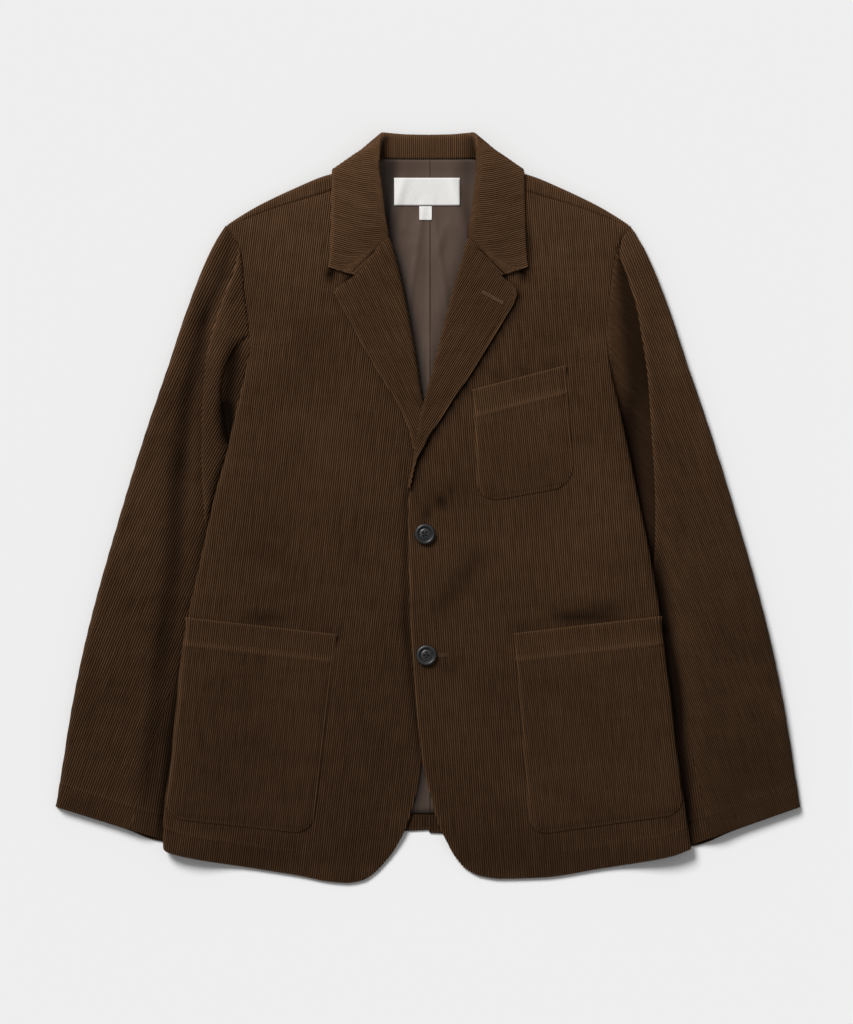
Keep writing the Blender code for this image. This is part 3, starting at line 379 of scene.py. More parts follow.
LINING_CREASES = table(
    Fold, (24, 348, 46, 270, 5, 1.4), (34, 350, 50, 296, 4, -1.2), (12, 318, 34, 244, 4, -1.4),
    (6, 306, 22, 200, 3, 1.2), (22, 304, 8, 262, 4, 1.0), (4, 240, 10, 150, 3, -1.0),
    (10, 296, 40, 288, 3, 0.9), (8, 268, 30, 262, 3, -0.8), (6, -230, 26, -330, 8, 0.8),
)
# Painted shade on the pile, in hollows and folds and where parts would cast shadows: the height here is how
# dark it is
BODY_PAINTED_SHADE = {
    Side.LEFT: table(
        Fold, (70, 238.5, 108, 249.5, 3.5, 1.2), (105, 296, 107, 250, 3.5, 0.6),
        (92, -124, 240, -108, 4, 0.35), (46, 131, 144, 156, 4, 0.30), (-5, -8, 27, 18, 4, 0.60),
        (6, -112, 60, -42, 13, 0.30), (132, -113, 200, -105, 7, 0.50), (12, -163, 30, -166, 5, 0.35),
    ),
    Side.RIGHT: table(
        Fold, (108, 247, 72, 237, 3.5, 1.2), (100, -124, 190, -113, 4, 0.40),
        (23, 24, 24, -130, 5, 0.40), (24, -120, 8, -260, 5, 0.40),
    ),
}
SLEEVE_PAINTED_SHADE = {
    Side.LEFT: table(
        Fold, (310, 20, 345, -360, 60, 0.13), (237, -45, 262, -205, 7, 0.75),
        (259, -190, 276, -345, 7, 0.60),
    ),
    Side.RIGHT: table(
        Fold, (206, 296, 216, 240, 6, 0.45), (216, 246, 237, 194, 7, 0.55),
        (236, 200, 252, 120, 8, 0.60), (252, 124, 261, 40, 10, 0.48), (260, 50, 267, -64, 11, 0.48),
        (266, -58, 283, -185, 12, 0.40), (281, -192, 298, -300, 12, 0.36), (234, 186, 241, 20, 6, 0.30),
        (212, 112, 209, 70, 9, 1.2), (203, 172, 211, 112, 10, 0.75), (214, 60, 238, -50, 5, 0.50),
        (238, -50, 262, -185, 5, 0.42), (262, -185, 281, -350, 7, 0.60),
    ),
}


@dataclass(frozen=True)
class Layers:
    """How thick the cloth is and how its layers lie on each other."""

    cloth: float = 2.0
    pocket_cloth: float = 1.6
    lining_cloth: float = 1.2
    seam_gap: float = 0.15
    shoulder_gap: float = 0.15
    under_gap: float = 0.8
    lip_gap: float = 0.6
    patch_gap: float = 0.9
    lining_gap: float = 0.6
    body: float = 9.5
    sleeve_lift: float = 5.6
    collar_lift: float = 2.8
    duck: float = 3.0
    cross_rise: float = 2.7
    hem_rest: float = 3.6
    hem_droop: float = 0.85
    edge_roll: float = 6.0
    shoulder_roll: float = 5.0
    dip: float = 0.9
    dip_width: float = 5.0
    tuck: float = 15.0
    sleeve_low: float = 5.0
    sleeve_rise: float = 8.0
    sleeve_roll: float = 6.5
    sleeve_seam: float = 8.6
    head_rise: float = 4.2
    cuff_thinning: float = 3.0
    lapel_roll: float = 4.0
    lapel_puff: float = 1.8
    lay_margin: float = 1.0
    neck_half: float = 80.0
    shoulder_tip: float = 211.0
    shoulder_low_y: float = 285.0
    lining_hem_y: float = -320.0
    lining_inset: float = 13.0
    lining_neck_inset: float = 1.5
    pocket_from_edge: float = 1.2


LAY = Layers()

# Where each change in height starts and is complete, outwards or along Y
SLEEVE_LIFT_IN = Ease(95.0, 14.0)
SLEEVE_LIFT_DOWN = Ease(215.0, 128.0)
COLLAR_LIFT_OUT = Ease(190.0, 105.0)
COLLAR_LIFT_UP = Ease(190.0, 318.0)
CROSS_OUT = Ease(50.0, 14.0)
CROSS_UP = Ease(0.0, 24.0)
CROSS_DOWN = Ease(175.0, 122.0)
DUCK_OUT = Ease(105.0, 28.0)
DUCK_DOWN = Ease(240.0, 100.0)
DROOP_DOWN = Ease(-8.0, 40.0)
DROOP_OUT = Ease(262.0, 190.0)
ARMHOLE_TO_SIDE = Ease(160.0, 131.0)
MARGIN_DOWN = Ease(150.0, 131.0)
LINING_NECK_OUT = Ease(50.0, 70.0)
LAPEL_PUFF_OUT = Ease(30.0, 0.0)
UNDERLAP_PUFF_UP = Ease(100.0, 170.0)
TUCK_DOWN = Ease(135.0, 75.0)
SLEEVE_RISE_OUT = Ease(1.0, 34.0)
HEAD_RISE_OUT = Ease(0.0, 24.0)
HEAD_TO_SLEEVE = Ease(168.0, 112.0)
CUFF_THINNING_DOWN = Ease(-180.0, -330.0)
CUFF_THINNING_OUT = Ease(0.0, 60.0)
SLEEVE_FOLDS_OUT = Ease(2.0, 26.0)
FOLD_START = Ease(-0.25, 0.25)
FOLD_STOP = Ease(1.25, 0.75)
LINING_LOWEST = -0.4

# ---------------------------------------------------------------- shape of the jacket


def smoothstep(value: Array, ease: Ease) -> Array:
    """From 0 at the ease's start to 1 at its end.

    Args:
        value: where to look.
        ease: the stretch over which the change happens.

    Returns:
        Parts from 0 to 1.
    """
    part = np.clip((np.asarray(value, float) - ease.start) / (ease.end - ease.start), 0.0, 1.0)
    return part * part * (3.0 - 2.0 * part)


def through(knots: Sequence[float], values: Sequence[float], at: Array) -> Array:
    """Smooth curve through rows of a table that never overshoots them.

    Args:
        knots: rising positions of the rows.
        values: the rows' values.
        at: where to read the curve; it is held at the ends.

    Returns:
        The curve's values.
    """
    knots = np.asarray(knots, float)
    values = np.asarray(values, float)
    at = np.clip(at, knots[0], knots[-1])
    run = np.diff(knots)
    slope = np.diff(values) / run
    tangent = np.empty_like(values)
    tangent[0] = slope[0]
    tangent[-1] = slope[-1]
    before = slope[:-1]
    after = slope[1:]
    same_way = before * after > 0
    blend = np.where(same_way, before + after, 1.0)
    tangent[1:-1] = np.where(same_way, 2.0 * before * after / blend, 0.0)
    span = np.clip(np.searchsorted(knots, at, side="right") - 1, 0, len(run) - 1)
    t = (at - knots[span]) / run[span]
    start = (1 + 2 * t) * (1 - t) ** 2 * values[span]
    start_pull = t * (1 - t) ** 2 * run[span] * tangent[span]
    end = t * t * (3 - 2 * t) * values[span + 1]
    end_pull = t * t * (t - 1) * run[span] * tangent[span + 1]
    return start + start_pull + end + end_pull


def out_curve(spots: Sequence[Spot]) -> Curve:
    """Edge as a function of height along Y, from a table whose y rises."""
    return lambda y: through([spot.y for spot in spots], [spot.out for spot in spots], y)


def y_curve(spots: Sequence[Spot]) -> Curve:
    """Edge as a function of the distance out, from a table whose out rises."""
    return lambda out: through([spot.out for spot in spots], [spot.y for spot in spots], out)


shoulder_line = y_curve(SHOULDER_LINE)
shoulder_seam = y_curve(SHOULDER_SEAM)
sleeve_edge = out_curve(SLEEVE_EDGE)


def body_edge(side: Side, y: Array) -> Array:
    """How far out the side edge or the armhole seam lies at y."""
    widths = [row.left if side is Side.LEFT else row.right for row in BODY_EDGE]
    return through([row.y for row in BODY_EDGE], widths, y)


def quarter(distance: Array, radius: float) -> Array:
    """Quarter round: 0 on the edge, 1 from the radius inwards."""
    part = 1.0 - np.clip(distance, 0.0, radius) / radius
    return np.sqrt(np.clip(1.0 - part * part, 0.0, 1.0))


def bell(distance: Array, width: float) -> Array:
    """Soft bump: 1 where the distance is 0, fading over the width."""
    return np.exp(-((distance / width) ** 2))


def level(height: float) -> Curve:
    """Straight edge at one height, or at one distance out."""
    return lambda at: height + 0.0 * at


def square_to(edge: Curve, y: Array, distance: Array) -> Array:
    """Distance from a slanting edge measured square to it, from the one measured along X."""
    lean = 0.5 * (edge(y + 1.0) - edge(y - 1.0))
    return distance / np.hypot(1.0, lean)


def laid_flat(distance: Array, radius: float) -> Array:
    """Distance seen from above of cloth that rolls round an edge.

    Args:
        distance: distance from the edge, measured along the cloth.
        radius: radius of the roll.

    Returns:
        Distance from the edge in plan.
    """
    arc = np.clip(distance, 0.0, 0.5 * math.pi * radius)
    past = np.maximum(distance - 0.5 * math.pi * radius, 0.0)
    return radius * (1.0 - np.cos(arc / radius)) + past


def fold_height(folds: Sequence[Fold], out: Array, y: Array) -> Array:
    """Sum of the soft creases and ridges at points seen from above."""
    total = np.zeros(np.broadcast(out, y).shape)
    for fold in folds:
        run_out = fold.out_b - fold.out_a
        run_y = fold.y_b - fold.y_a
        length = math.hypot(run_out, run_y)
        part = ((out - fold.out_a) * run_out + (y - fold.y_a) * run_y) / length**2
        aside = ((out - fold.out_a) * run_y - (y - fold.y_a) * run_out) / length
        ends = smoothstep(part, FOLD_START) * smoothstep(part, FOLD_STOP)
        total = total + fold.height * ends * bell(aside, fold.width)
    return total


def hollow_at(hollows: Sequence[Fold], out: Array, y: Array) -> Array:
    """How deep the painted shade on the pile is, from 0 to 1."""
    return np.clip(fold_height(hollows, out, y), 0.0, 1.0)


def underside(side: Side, out: Array, y: Array) -> Array:
    """Underside of the back: it climbs over the tucked sleeves and over the collar's leaf."""
    from_edge = body_edge(side, y) - out
    over_sleeve = LAY.sleeve_lift * smoothstep(from_edge, SLEEVE_LIFT_IN) * smoothstep(y, SLEEVE_LIFT_DOWN)
    over_leaf = LAY.collar_lift * smoothstep(out, COLLAR_LIFT_OUT) * smoothstep(y, COLLAR_LIFT_UP)
    return over_sleeve + over_leaf


def front_top(side: Side, out: Array, y: Array) -> Array:
    """Outer face of a front."""
    base = underside(side, out, y)
    top = base + LAY.body + fold_height(BODY_FOLDS[side] + BODY_CREASES[side], out, y)
    if side is Side.LEFT:
        cross = smoothstep(out, CROSS_OUT) * smoothstep(y, CROSS_UP) * smoothstep(y, CROSS_DOWN)
        top = top + LAY.cross_rise * cross
    else:
        top = top - LAY.duck * smoothstep(out, DUCK_OUT) * smoothstep(y, DUCK_DOWN)
    below_hem = y_curve(BACK_HEM[side])(np.maximum(out, 0.0)) - y
    droop = LAY.hem_droop * (top - LAY.hem_rest) * smoothstep(below_hem, DROOP_DOWN)
    top = top - droop * smoothstep(out, DROOP_OUT)
    from_edge = body_edge(side, y) - out
    lip_foot = base + LAY.cloth + LAY.lip_gap
    side_fold = lip_foot + (top - lip_foot) * quarter(from_edge, LAY.edge_roll)
    at_armhole = top - LAY.dip * bell(from_edge, LAY.dip_width)
    top = at_armhole + (side_fold - at_armhole) * smoothstep(y, ARMHOLE_TO_SIDE)
    middle = base + 0.5 * LAY.body
    rounded = middle + (top - middle) * quarter(shoulder_line(out) - y, LAY.shoulder_roll)
    return np.where(y > LAY.shoulder_low_y, rounded, top)


def sleeve_top(side: Side, out: Array, y: Array) -> Array:
    """Outer face of a sleeve's upper half."""
    past_body = out - body_edge(side, y)
    low_plateau = LAY.sleeve_low + LAY.sleeve_rise * smoothstep(past_body, SLEEVE_RISE_OUT)
    high_plateau = LAY.sleeve_seam + LAY.head_rise * smoothstep(past_body, HEAD_RISE_OUT)
    plateau = high_plateau + (low_plateau - high_plateau) * smoothstep(y, HEAD_TO_SLEEVE)
    near_cuff = smoothstep(y, CUFF_THINNING_DOWN) * smoothstep(past_body, CUFF_THINNING_OUT)
    plateau = plateau - LAY.cuff_thinning * near_cuff
    folds = fold_height(SLEEVE_FOLDS[side] + SLEEVE_CREASES[side], out, y)
    plateau = plateau + folds * smoothstep(past_body, SLEEVE_FOLDS_OUT)
    from_fold = square_to(sleeve_edge, y, sleeve_edge(y) - out)
    foot = LAY.cloth + LAY.lip_gap
    return foot + (plateau - foot) * quarter(from_fold, LAY.sleeve_roll)


def lining_top(side: Side, out: Array, y: Array) -> Array:
    """Upper face of the lining."""
    base = underside(side, out, y) + LAY.cloth + LAY.lining_gap + LAY.lining_cloth
    return base + np.maximum(fold_height(LINING_CREASES, out, y), LINING_LOWEST)


# ---------------------------------------------------------------- shader maths


class Value:
    """A number that flows between shader nodes, with Python's operators."""

    def __init__(self, graph: "Graph", socket: Socket) -> None:
        """Wrap a socket of a graph."""
        self.graph = graph
        self.socket = socket

    def _maths(self, operation: str, *values: Any) -> "Value":
        """Add a Math node.

        Args:
            operation: the node's operation.
            values: Values or plain numbers, in the order of its sockets.

        Returns:
            Its result.
        """
        sockets = {index: value for index, value in enumerate(values)}
        return self.graph.value("ShaderNodeMath", {"operation": operation}, sockets)

    def __add__(self, other: Any) -> "Value":
        """Sum."""
        return self._maths("ADD", self, other)

    def __sub__(self, other: Any) -> "Value":
        """Difference."""
        return self._maths("SUBTRACT", self, other)

    def __rsub__(self, other: Any) -> "Value":
        """Difference from a number."""
        return self._maths("SUBTRACT", other, self)

    def __mul__(self, other: Any) -> "Value":
        """Product."""
        return self._maths("MULTIPLY", self, other)

    def __pow__(self, other: Any) -> "Value":
        """Power."""
        return self._maths("POWER", self, other)

    def cosine(self) -> "Value":
        """Cosine of an angle in radians."""
        return self._maths("COSINE", self)

    def wave(self) -> "Value":
        """Cosine of an angle in radians, moved to lie between 0 and 1."""
        return self.cosine() * 0.5 + 0.5

    def held(self) -> "Value":
        """The value, kept between 0 and 1."""
        return self.graph.value("ShaderNodeClamp", {}, {"Value": self})


class Graph:
    """Node tree of one material."""

    def __init__(self, name: str, flat_colour: Colour) -> None:
        """Make an empty material with its Principled shader."""
        self.material = bpy.data.materials.new(name)
        self.material.use_nodes = True
        self.material.diffuse_color = (*flat_colour, 1.0)
        self.nodes = self.material.node_tree.nodes
        self.links = self.material.node_tree.links
        self.shader = self.nodes["Principled BSDF"]

    def node(self, kind: str, settings: dict, sockets: dict) -> bpy.types.Node:
        """Make any node.

        Args:
            kind: the node's type.
            settings: its properties, set first.
            sockets: values or links for its inputs, by name or place.

        Returns:
            The node.
        """
        made = self.nodes.new(kind)
        for name, setting in settings.items():
            setattr(made, name, setting)
        for name, given in sockets.items():
            self.feed(made.inputs[name], given)
        return made

    def value(self, kind: str, settings: dict, sockets: dict, output: Any = 0) -> Value:
        """Make a node and wrap one of its number outputs."""
        return Value(self, self.node(kind, settings, sockets).outputs[output])

    def feed(self, socket: Socket, given: Any) -> None:
        """Set a socket to a constant or link it."""
        if isinstance(given, Value):
            given = given.socket
        if isinstance(given, Socket):
            self.links.new(given, socket)
        else:
            socket.default_value = given

    def attribute(self, name: str) -> Value:
        """Number that the mesh holds at each point."""
        return self.value("ShaderNodeAttribute", {"attribute_name": name}, {}, "Fac")

    def place(self) -> Socket:
        """Object coordinates in metres."""
        return self.node("ShaderNodeTexCoord", {}, {}).outputs["Object"]

    def axes(self, where: Socket) -> tuple[Value, Value]:
        """The place's parts along X and Y."""
        parts = self.node("ShaderNodeSeparateXYZ", {}, {0: where}).outputs
        return Value(self, parts[0]), Value(self, parts[1])

    def paint(self, colour: Any) -> None:
        """Give the shader its colour."""
        self.feed(self.shader.inputs["Base Color"], colour)

    def vector(self, x: Any, y: Any, z: Any = 0.0) -> Socket:
        """Vector from three numbers."""
        return self.node("ShaderNodeCombineXYZ", {}, {0: x, 1: y, 2: z}).outputs[0]

    def noise(self, where: Socket, scale: float, detail: float = 2.0) -> Value:
        """Soft noise around 0.5."""
        sockets = {"Vector": where, "Scale": scale, "Detail": detail}
        return self.value("ShaderNodeTexNoise", {}, sockets, "Fac")

    def grain(self, across: Value, along: Value, detail: float = 1.0) -> Value:
        """Soft noise of two numbers, each scaled to how fine it is that way."""
        return self.noise(self.vector(across, along), 1.0, detail)

    def mix(self, share: Any, first: Any, second: Any) -> Socket:
        """Colour between two colours.

        Args:
            share: 0 gives the first colour and 1 the second.
            first: a colour or a link.
            second: a colour or a link.

        Returns:
            The mixed colour.
        """
        made = self.nodes.new("ShaderNodeMix")
        made.data_type = "RGBA"
        self.feed(made.inputs[0], share)
        for socket, given in ((made.inputs[6], first), (made.inputs[7], second)):
            self.feed(socket, (*given, 1.0) if isinstance(given, tuple) else given)
        return made.outputs[2]

    def bump(self, height: Value, depth: float) -> None:
        """Raise the surface by a height from 0 to 1 times the depth in metres."""
        sockets = {"Height": height, "Distance": depth, "Strength": 1.0}
        made = self.node("ShaderNodeBump", {}, sockets)
        self.feed(self.shader.inputs["Normal"], made.outputs[0])

    def gloss(self, **sockets: float) -> None:
        """Set constants on the shader's own sockets; underscores stand for spaces."""
        for name, given in sockets.items():
            self.feed(self.shader.inputs[name.replace("_", " ")], given)


@dataclass(frozen=True)
class Corduroy:
    """Cotton corduroy: ridges of cut pile, with painted shade in the grooves between them."""

    name: str = "corduroy_pile"
    dark: Colour = (0.0295, 0.0135, 0.0052)
    light: Colour = (0.153, 0.0785, 0.0385)
    # Colour that the painted shade in grooves and hollows mixes towards
    ground: Colour = (0.0042, 0.0018, 0.0007)
    tint: tuple = (0.70, 0.38, 0.18, 1.0)
    # Painted shade in the grooves between the wales
    groove_shade: float = 0.90
    groove_power: float = 1.3
    pile_scale: float = 850.0
    drift_scale: float = 9.0
    tuft_grain: tuple = (2.0, 0.5)
    dash_grain: tuple = (1.3, 0.035)
    dash_start: float = 40.0
    streak_grain: tuple = (0.9, 0.02)
    band_grain: tuple = (20.0, 75.0)
    dash_light: float = 0.7
    streak_light: float = 0.3
    tuft_light: float = 0.35
    pile_light: float = 0.6
    drift_light: float = 0.55
    band_light: float = 0.3
    dim: float = 0.91
    # Painted light: the pile grows lighter towards the shoulders
    shoulder_y: float = 0.2
    shoulder_ease: float = 4.0
    shoulder_light: float = 0.3
    # How much the edge mark, worn nap with a painted highlight, lightens the pile
    edge_light: float = 0.45
    # Painted shade that grows from top_y down towards the hem, and the share of the mesh's painted shade
    top_y: float = 0.38
    fall: float = 0.62
    hollow_shade: float = 0.95
    pile_height: float = 0.5
    tuft_height: float = 0.3
    depth: float = 0.00045

    def build(self) -> Material:
        """Make the material; it reads the mesh's wale, run, edge (worn nap with a painted highlight) and
        painted shade.
        """
        graph = Graph(self.name, self.light)
        where = graph.place()
        wale = graph.attribute("wale")
        run = graph.attribute("run")
        across, up = graph.axes(where)
        groove = (wale * math.tau).wave()
        pile = graph.noise(where, self.pile_scale)
        tufts = graph.grain(wale * self.tuft_grain[0], run * self.tuft_grain[1])
        dashes = graph.grain(wale * self.dash_grain[0] + self.dash_start, run * self.dash_grain[1])
        streak = graph.grain(wale * self.streak_grain[0], run * self.streak_grain[1], 2.0)
        drift = graph.noise(where, self.drift_scale, 3.0)
        bands = graph.grain(across * self.band_grain[0], up * self.band_grain[1], 2.0)
        light = dashes * self.dash_light + streak * self.streak_light + tufts * self.tuft_light
        light = light + pile * self.pile_light + drift * self.drift_light + bands * self.band_light - self.dim
        # Painted light towards the shoulders, and worn nap with a painted highlight on the edges
        painted_shoulder_light = ((up - self.shoulder_y) * self.shoulder_ease).held() * self.shoulder_light
        crown = (light + painted_shoulder_light + graph.attribute("edge") * self.edge_light).held()
        colour = graph.mix(crown, self.dark, self.light)
        # Painted shade in the grooves between the wales
        ribbed = graph.mix((groove**self.groove_power) * self.groove_shade, colour, self.ground)
        # Painted shade: the mesh's painted shade mark, and darker from top_y down towards the hem
        hollow = graph.attribute("hollow") * self.hollow_shade
        painted_darkening = ((self.top_y - up) * self.fall + hollow).held()
        graph.paint(graph.mix(painted_darkening, ribbed, self.ground))
        graph.bump(pile * self.pile_height + tufts * self.tuft_height - groove, self.depth)
        graph.gloss(Roughness=0.86, Sheen_Weight=0.06, Sheen_Roughness=0.5, Specular_IOR_Level=0.04)
        graph.shader.inputs["Sheen Tint"].default_value = self.tint
        return graph.material


@dataclass(frozen=True)
class Satin:
    """Smooth lining with a faint diagonal twill."""

    name: str = "lining_satin"
    dark: Colour = (0.066, 0.0420, 0.0310)
    light: Colour = (0.104, 0.0680, 0.0500)
    # Colour of the painted shade beside the lapels and fronts and deep inside them
    deep: Colour = (0.016, 0.0105, 0.0080)
    twill_across: float = 5200.0
    twill_up: float = 3600.0
    twill_light: float = 0.12
    cloud_scale: float = 22.0
    cloud_light: float = 1.1
    depth: float = 0.00003

    def build(self) -> Material:
        """Make the material."""
        graph = Graph(self.name, self.light)
        where = graph.place()
        across, up = graph.axes(where)
        twill = (across * self.twill_across + up * self.twill_up).wave()
        cloud = graph.noise(where, self.cloud_scale, 3.0)
        light = cloud * self.cloud_light + twill * self.twill_light - self.twill_light
        colour = graph.mix(light.held(), self.dark, self.light)
        # Painted shade from the mesh's mark
        graph.paint(graph.mix(graph.attribute("hollow").held(), colour, self.deep))
        graph.bump(twill, self.depth)
        graph.gloss(Roughness=0.45, Sheen_Weight=0.08, Sheen_Roughness=0.3, Specular_IOR_Level=0.22)
        return graph.material


@dataclass(frozen=True)
class Tape:
    """Woven label tape with fine ribs across it."""

    name: str = "label_tape"
    dark: Colour = (0.63, 0.615, 0.59)
    light: Colour = (0.80, 0.785, 0.76)
    ribs: float = 9000.0
    rib_light: float = 0.35
    rib_height: float = 0.6
    warp: float = 12000.0
    warp_light: float = 0.2
    warp_height: float = 0.4
    speck_scale: float = 600.0
    speck_light: float = 0.6
    depth: float = 0.00008

    def build(self) -> Material:
        """Make the material."""
        graph = Graph(self.name, self.light)
        where = graph.place()
        across, up = graph.axes(where)
        ribs = (up * self.ribs).wave()
        warp = (across * self.warp).wave()
        speck = graph.noise(where, self.speck_scale)
        light = ribs * self.rib_light + warp * self.warp_light + speck * self.speck_light
        graph.paint(graph.mix(light.held(), self.dark, self.light))
        graph.bump(ribs * self.rib_height + warp * self.warp_height, self.depth)
        graph.gloss(Roughness=0.7, Sheen_Weight=0.15, Specular_IOR_Level=0.3)
        return graph.material


@dataclass(frozen=True)
class Resin:
    """Mottled satin resin of the buttons."""

    name: str = "button_resin"
    dark: Colour = (0.0085, 0.0088, 0.0092)
    light: Colour = (0.029, 0.0283, 0.0283)
    cloud_scale: float = 160.0
    cloud_light: float = 1.6
    dim: float = 0.4
    rough: float = 0.3
    rough_change: float = 0.15
    grain_scale: float = 1500.0
    depth: float = 0.00003

    def build(self) -> Material:
        """Make the material."""
        graph = Graph(self.name, self.dark)
        where = graph.place()
        cloud = graph.noise(where, self.cloud_scale, 4.0)
        grain = graph.noise(where, self.grain_scale)
        graph.paint(graph.mix((cloud * self.cloud_light - self.dim).held(), self.dark, self.light))
        graph.feed(graph.shader.inputs["Roughness"], cloud * self.rough_change + self.rough)
        graph.bump(grain, self.depth)
        graph.gloss(Specular_IOR_Level=0.5)
        return graph.material


@dataclass(frozen=True)
class Thread:
    """Twisted sewing thread."""

    name: str
    colour: Colour
    twist: float = 7000.0
    ply_shade: float = 0.55
    depth: float = 0.00005

    def build(self) -> Material:
        """Make the material."""
        graph = Graph(self.name, self.colour)
        across, up = graph.axes(graph.place())
        ply = ((across + up) * self.twist).wave()
        shade = tuple(self.ply_shade * part for part in self.colour)
        graph.paint(graph.mix(ply, shade, self.colour))
        graph.bump(ply, self.depth)
        graph.gloss(Roughness=0.8, Specular_IOR_Level=0.08)
        return graph.material


@dataclass(frozen=True)
class Paper:
    """Plain pale floor."""

    name: str = "pale_floor"
    colour: Colour = (0.80, 0.80, 0.80)

    def build(self) -> Material:
        """Make the material."""
        graph = Graph(self.name, self.colour)
        graph.paint((*self.colour, 1.0))
        graph.gloss(Roughness=1.0, Specular_IOR_Level=0.0)
        return graph.material


# ---------------------------------------------------------------- cloth


# The cloth's relief, its edges and its hems: sizes in millimetres, parts, and where changes lie
COLUMNS_A_WALE = 3
SETTLE_ROUNDS = 18
WAVER_ROUNDS = 5
WAVES = ((19.0, 0.23), (41.0, -0.11))
LEAST_WIDTH = 0.1
MERGE = 0.00002
DEGENERATE = 0.1 * MERGE
GROOVE_DEPTH = 0.6
GROOVE_FADE = Ease(0.0, 1.2)
EDGE_GROOVE = 0.25
SOFT_EDGE = 0.8
SOFT_EDGE_WIDTH = 1.5
# Width of the worn nap and painted highlight along free edges
WEAR_AND_HIGHLIGHT_WIDTH = 2.0
CREASE_WIDTH = 1.1
RIDGE_WIDTH = 1.4 * CREASE_WIDTH
RIDGE_SHARE = 0.6
TROUGH_SHADE_BELOW = 0.5
HEM_CREASE = 0.7
HEM_RIDGE = 2.2
NOTCH = 0.9
NOTCH_RISE = 1.4
# How strong the painted highlight on a hem's ridge and the painted shade in its trough are
HEM_LIGHT = 1.6
HEM_SHADE = 0.14
NO_EDGE = 1000.0
EVERYWHERE = Ease(NO_EDGE, NO_EDGE - 1.0)
ROLL_SMOOTH_OUT = Ease(7.0, 3.0)
ROLL_SMOOTH_DOWN = Ease(75.0, 45.0)
GORGE_UP = Ease(226.0, 236.0)
LAPEL_FOOT_UP = Ease(14.0, 30.0)
LAPEL_TIP_DOWN = Ease(236.0, 222.0)
HEM_SEWN_OUT = Ease(128.0, 150.0)
STAND_TO_FOLD = Ease(27.0, 20.0)
STAND_UP = Ease(340.0, 358.0)
EDGE_STITCH = 3.6
EDGE_RIDGE = 0.55
PRESS_BELOW_MOUTH = Ease(2.0, 12.0)
LINING_SHADE_DOWN = Ease(0.0, -200.0)
FOLD_FROM = Ease(-112.0, -72.0)
FOLD_TO = Ease(276.0, 258.0)
FOLD_SMOOTH_OUT = Ease(3.4, 1.6)
RECESS_UP = Ease(108.0, 165.0)
RECESS_TOP = Ease(228.0, 262.0)
RECESS_ACROSS = Ease(0.85, 0.0)
RECESS_UNDER = Ease(-5.0, 0.0)
RECESS_LIFT_ACROSS = Ease(0.3, 0.8)
# Where the painted shade in the left sleeve's recess grows or eases
RECESS_SHADE_ACROSS = Ease(0.2, 0.62)
RECESS_OPEN_ACROSS = Ease(0.3, 0.8)
RECESS_BLACK_DOWN = Ease(150.0, 70.0)
SEAM_LEVEL_UP = Ease(132.0, 172.0)
SEAM_SHOWS_Y = -165.0


@dataclass(frozen=True)
class Wales:
    """How the wales run over a panel: out per millimetre down, and how that changes."""

    lean: float
    turn: float = 0.0
    spread: float = 0.0
    pitch: float = 2.3
    waver: float = 0.06

    def _shift(self, wale: Array, y: Array) -> Array:
        """How far out a wale has moved at y from where it is at y 0, with a slight waver."""
        waver = sum(np.sin(y / length + step * wale) for length, step in WAVES)
        return -self.lean * y + 0.5 * self.turn * y * y + self.waver * waver

    def out_at(self, wale: Array, y: Array) -> Array:
        """Distance out of a wale, by its count, at y."""
        return wale * self.pitch * (1.0 - self.spread * y) + self._shift(wale, y)

    def wale_at(self, out: Array, y: Array) -> Array:
        """Count of the wale at a place."""
        wale = out / self.pitch
        for _ in range(WAVER_ROUNDS):
            wale = (out - self._shift(wale, y)) / (self.pitch * (1.0 - self.spread * y))
        return wale


@dataclass(frozen=True)
class Rows:
    """Rows of a panel: each lies a share of the way up plus an offset."""

    share: Array
    offset: Array

    @staticmethod
    def graded(from_low: Sequence[float], from_high: Sequence[float], middle: int) -> "Rows":
        """Rows at set distances from both ends and even ones between.

        Args:
            from_low: distances up from the low edge, rising from 0.
            from_high: distances down from the high edge, rising from 0.
            middle: how many rows lie between the two sets.

        Returns:
            The rows, from low to high.
        """
        part = np.linspace(0.0, 1.0, middle + 2)[1:-1]
        between = from_low[-1] * (1.0 - part) - from_high[-1] * part
        down = np.array(from_high[::-1])
        share = np.concatenate([np.zeros(len(from_low)), part, np.ones(len(down))])
        return Rows(share, np.concatenate([from_low, between, -down]))


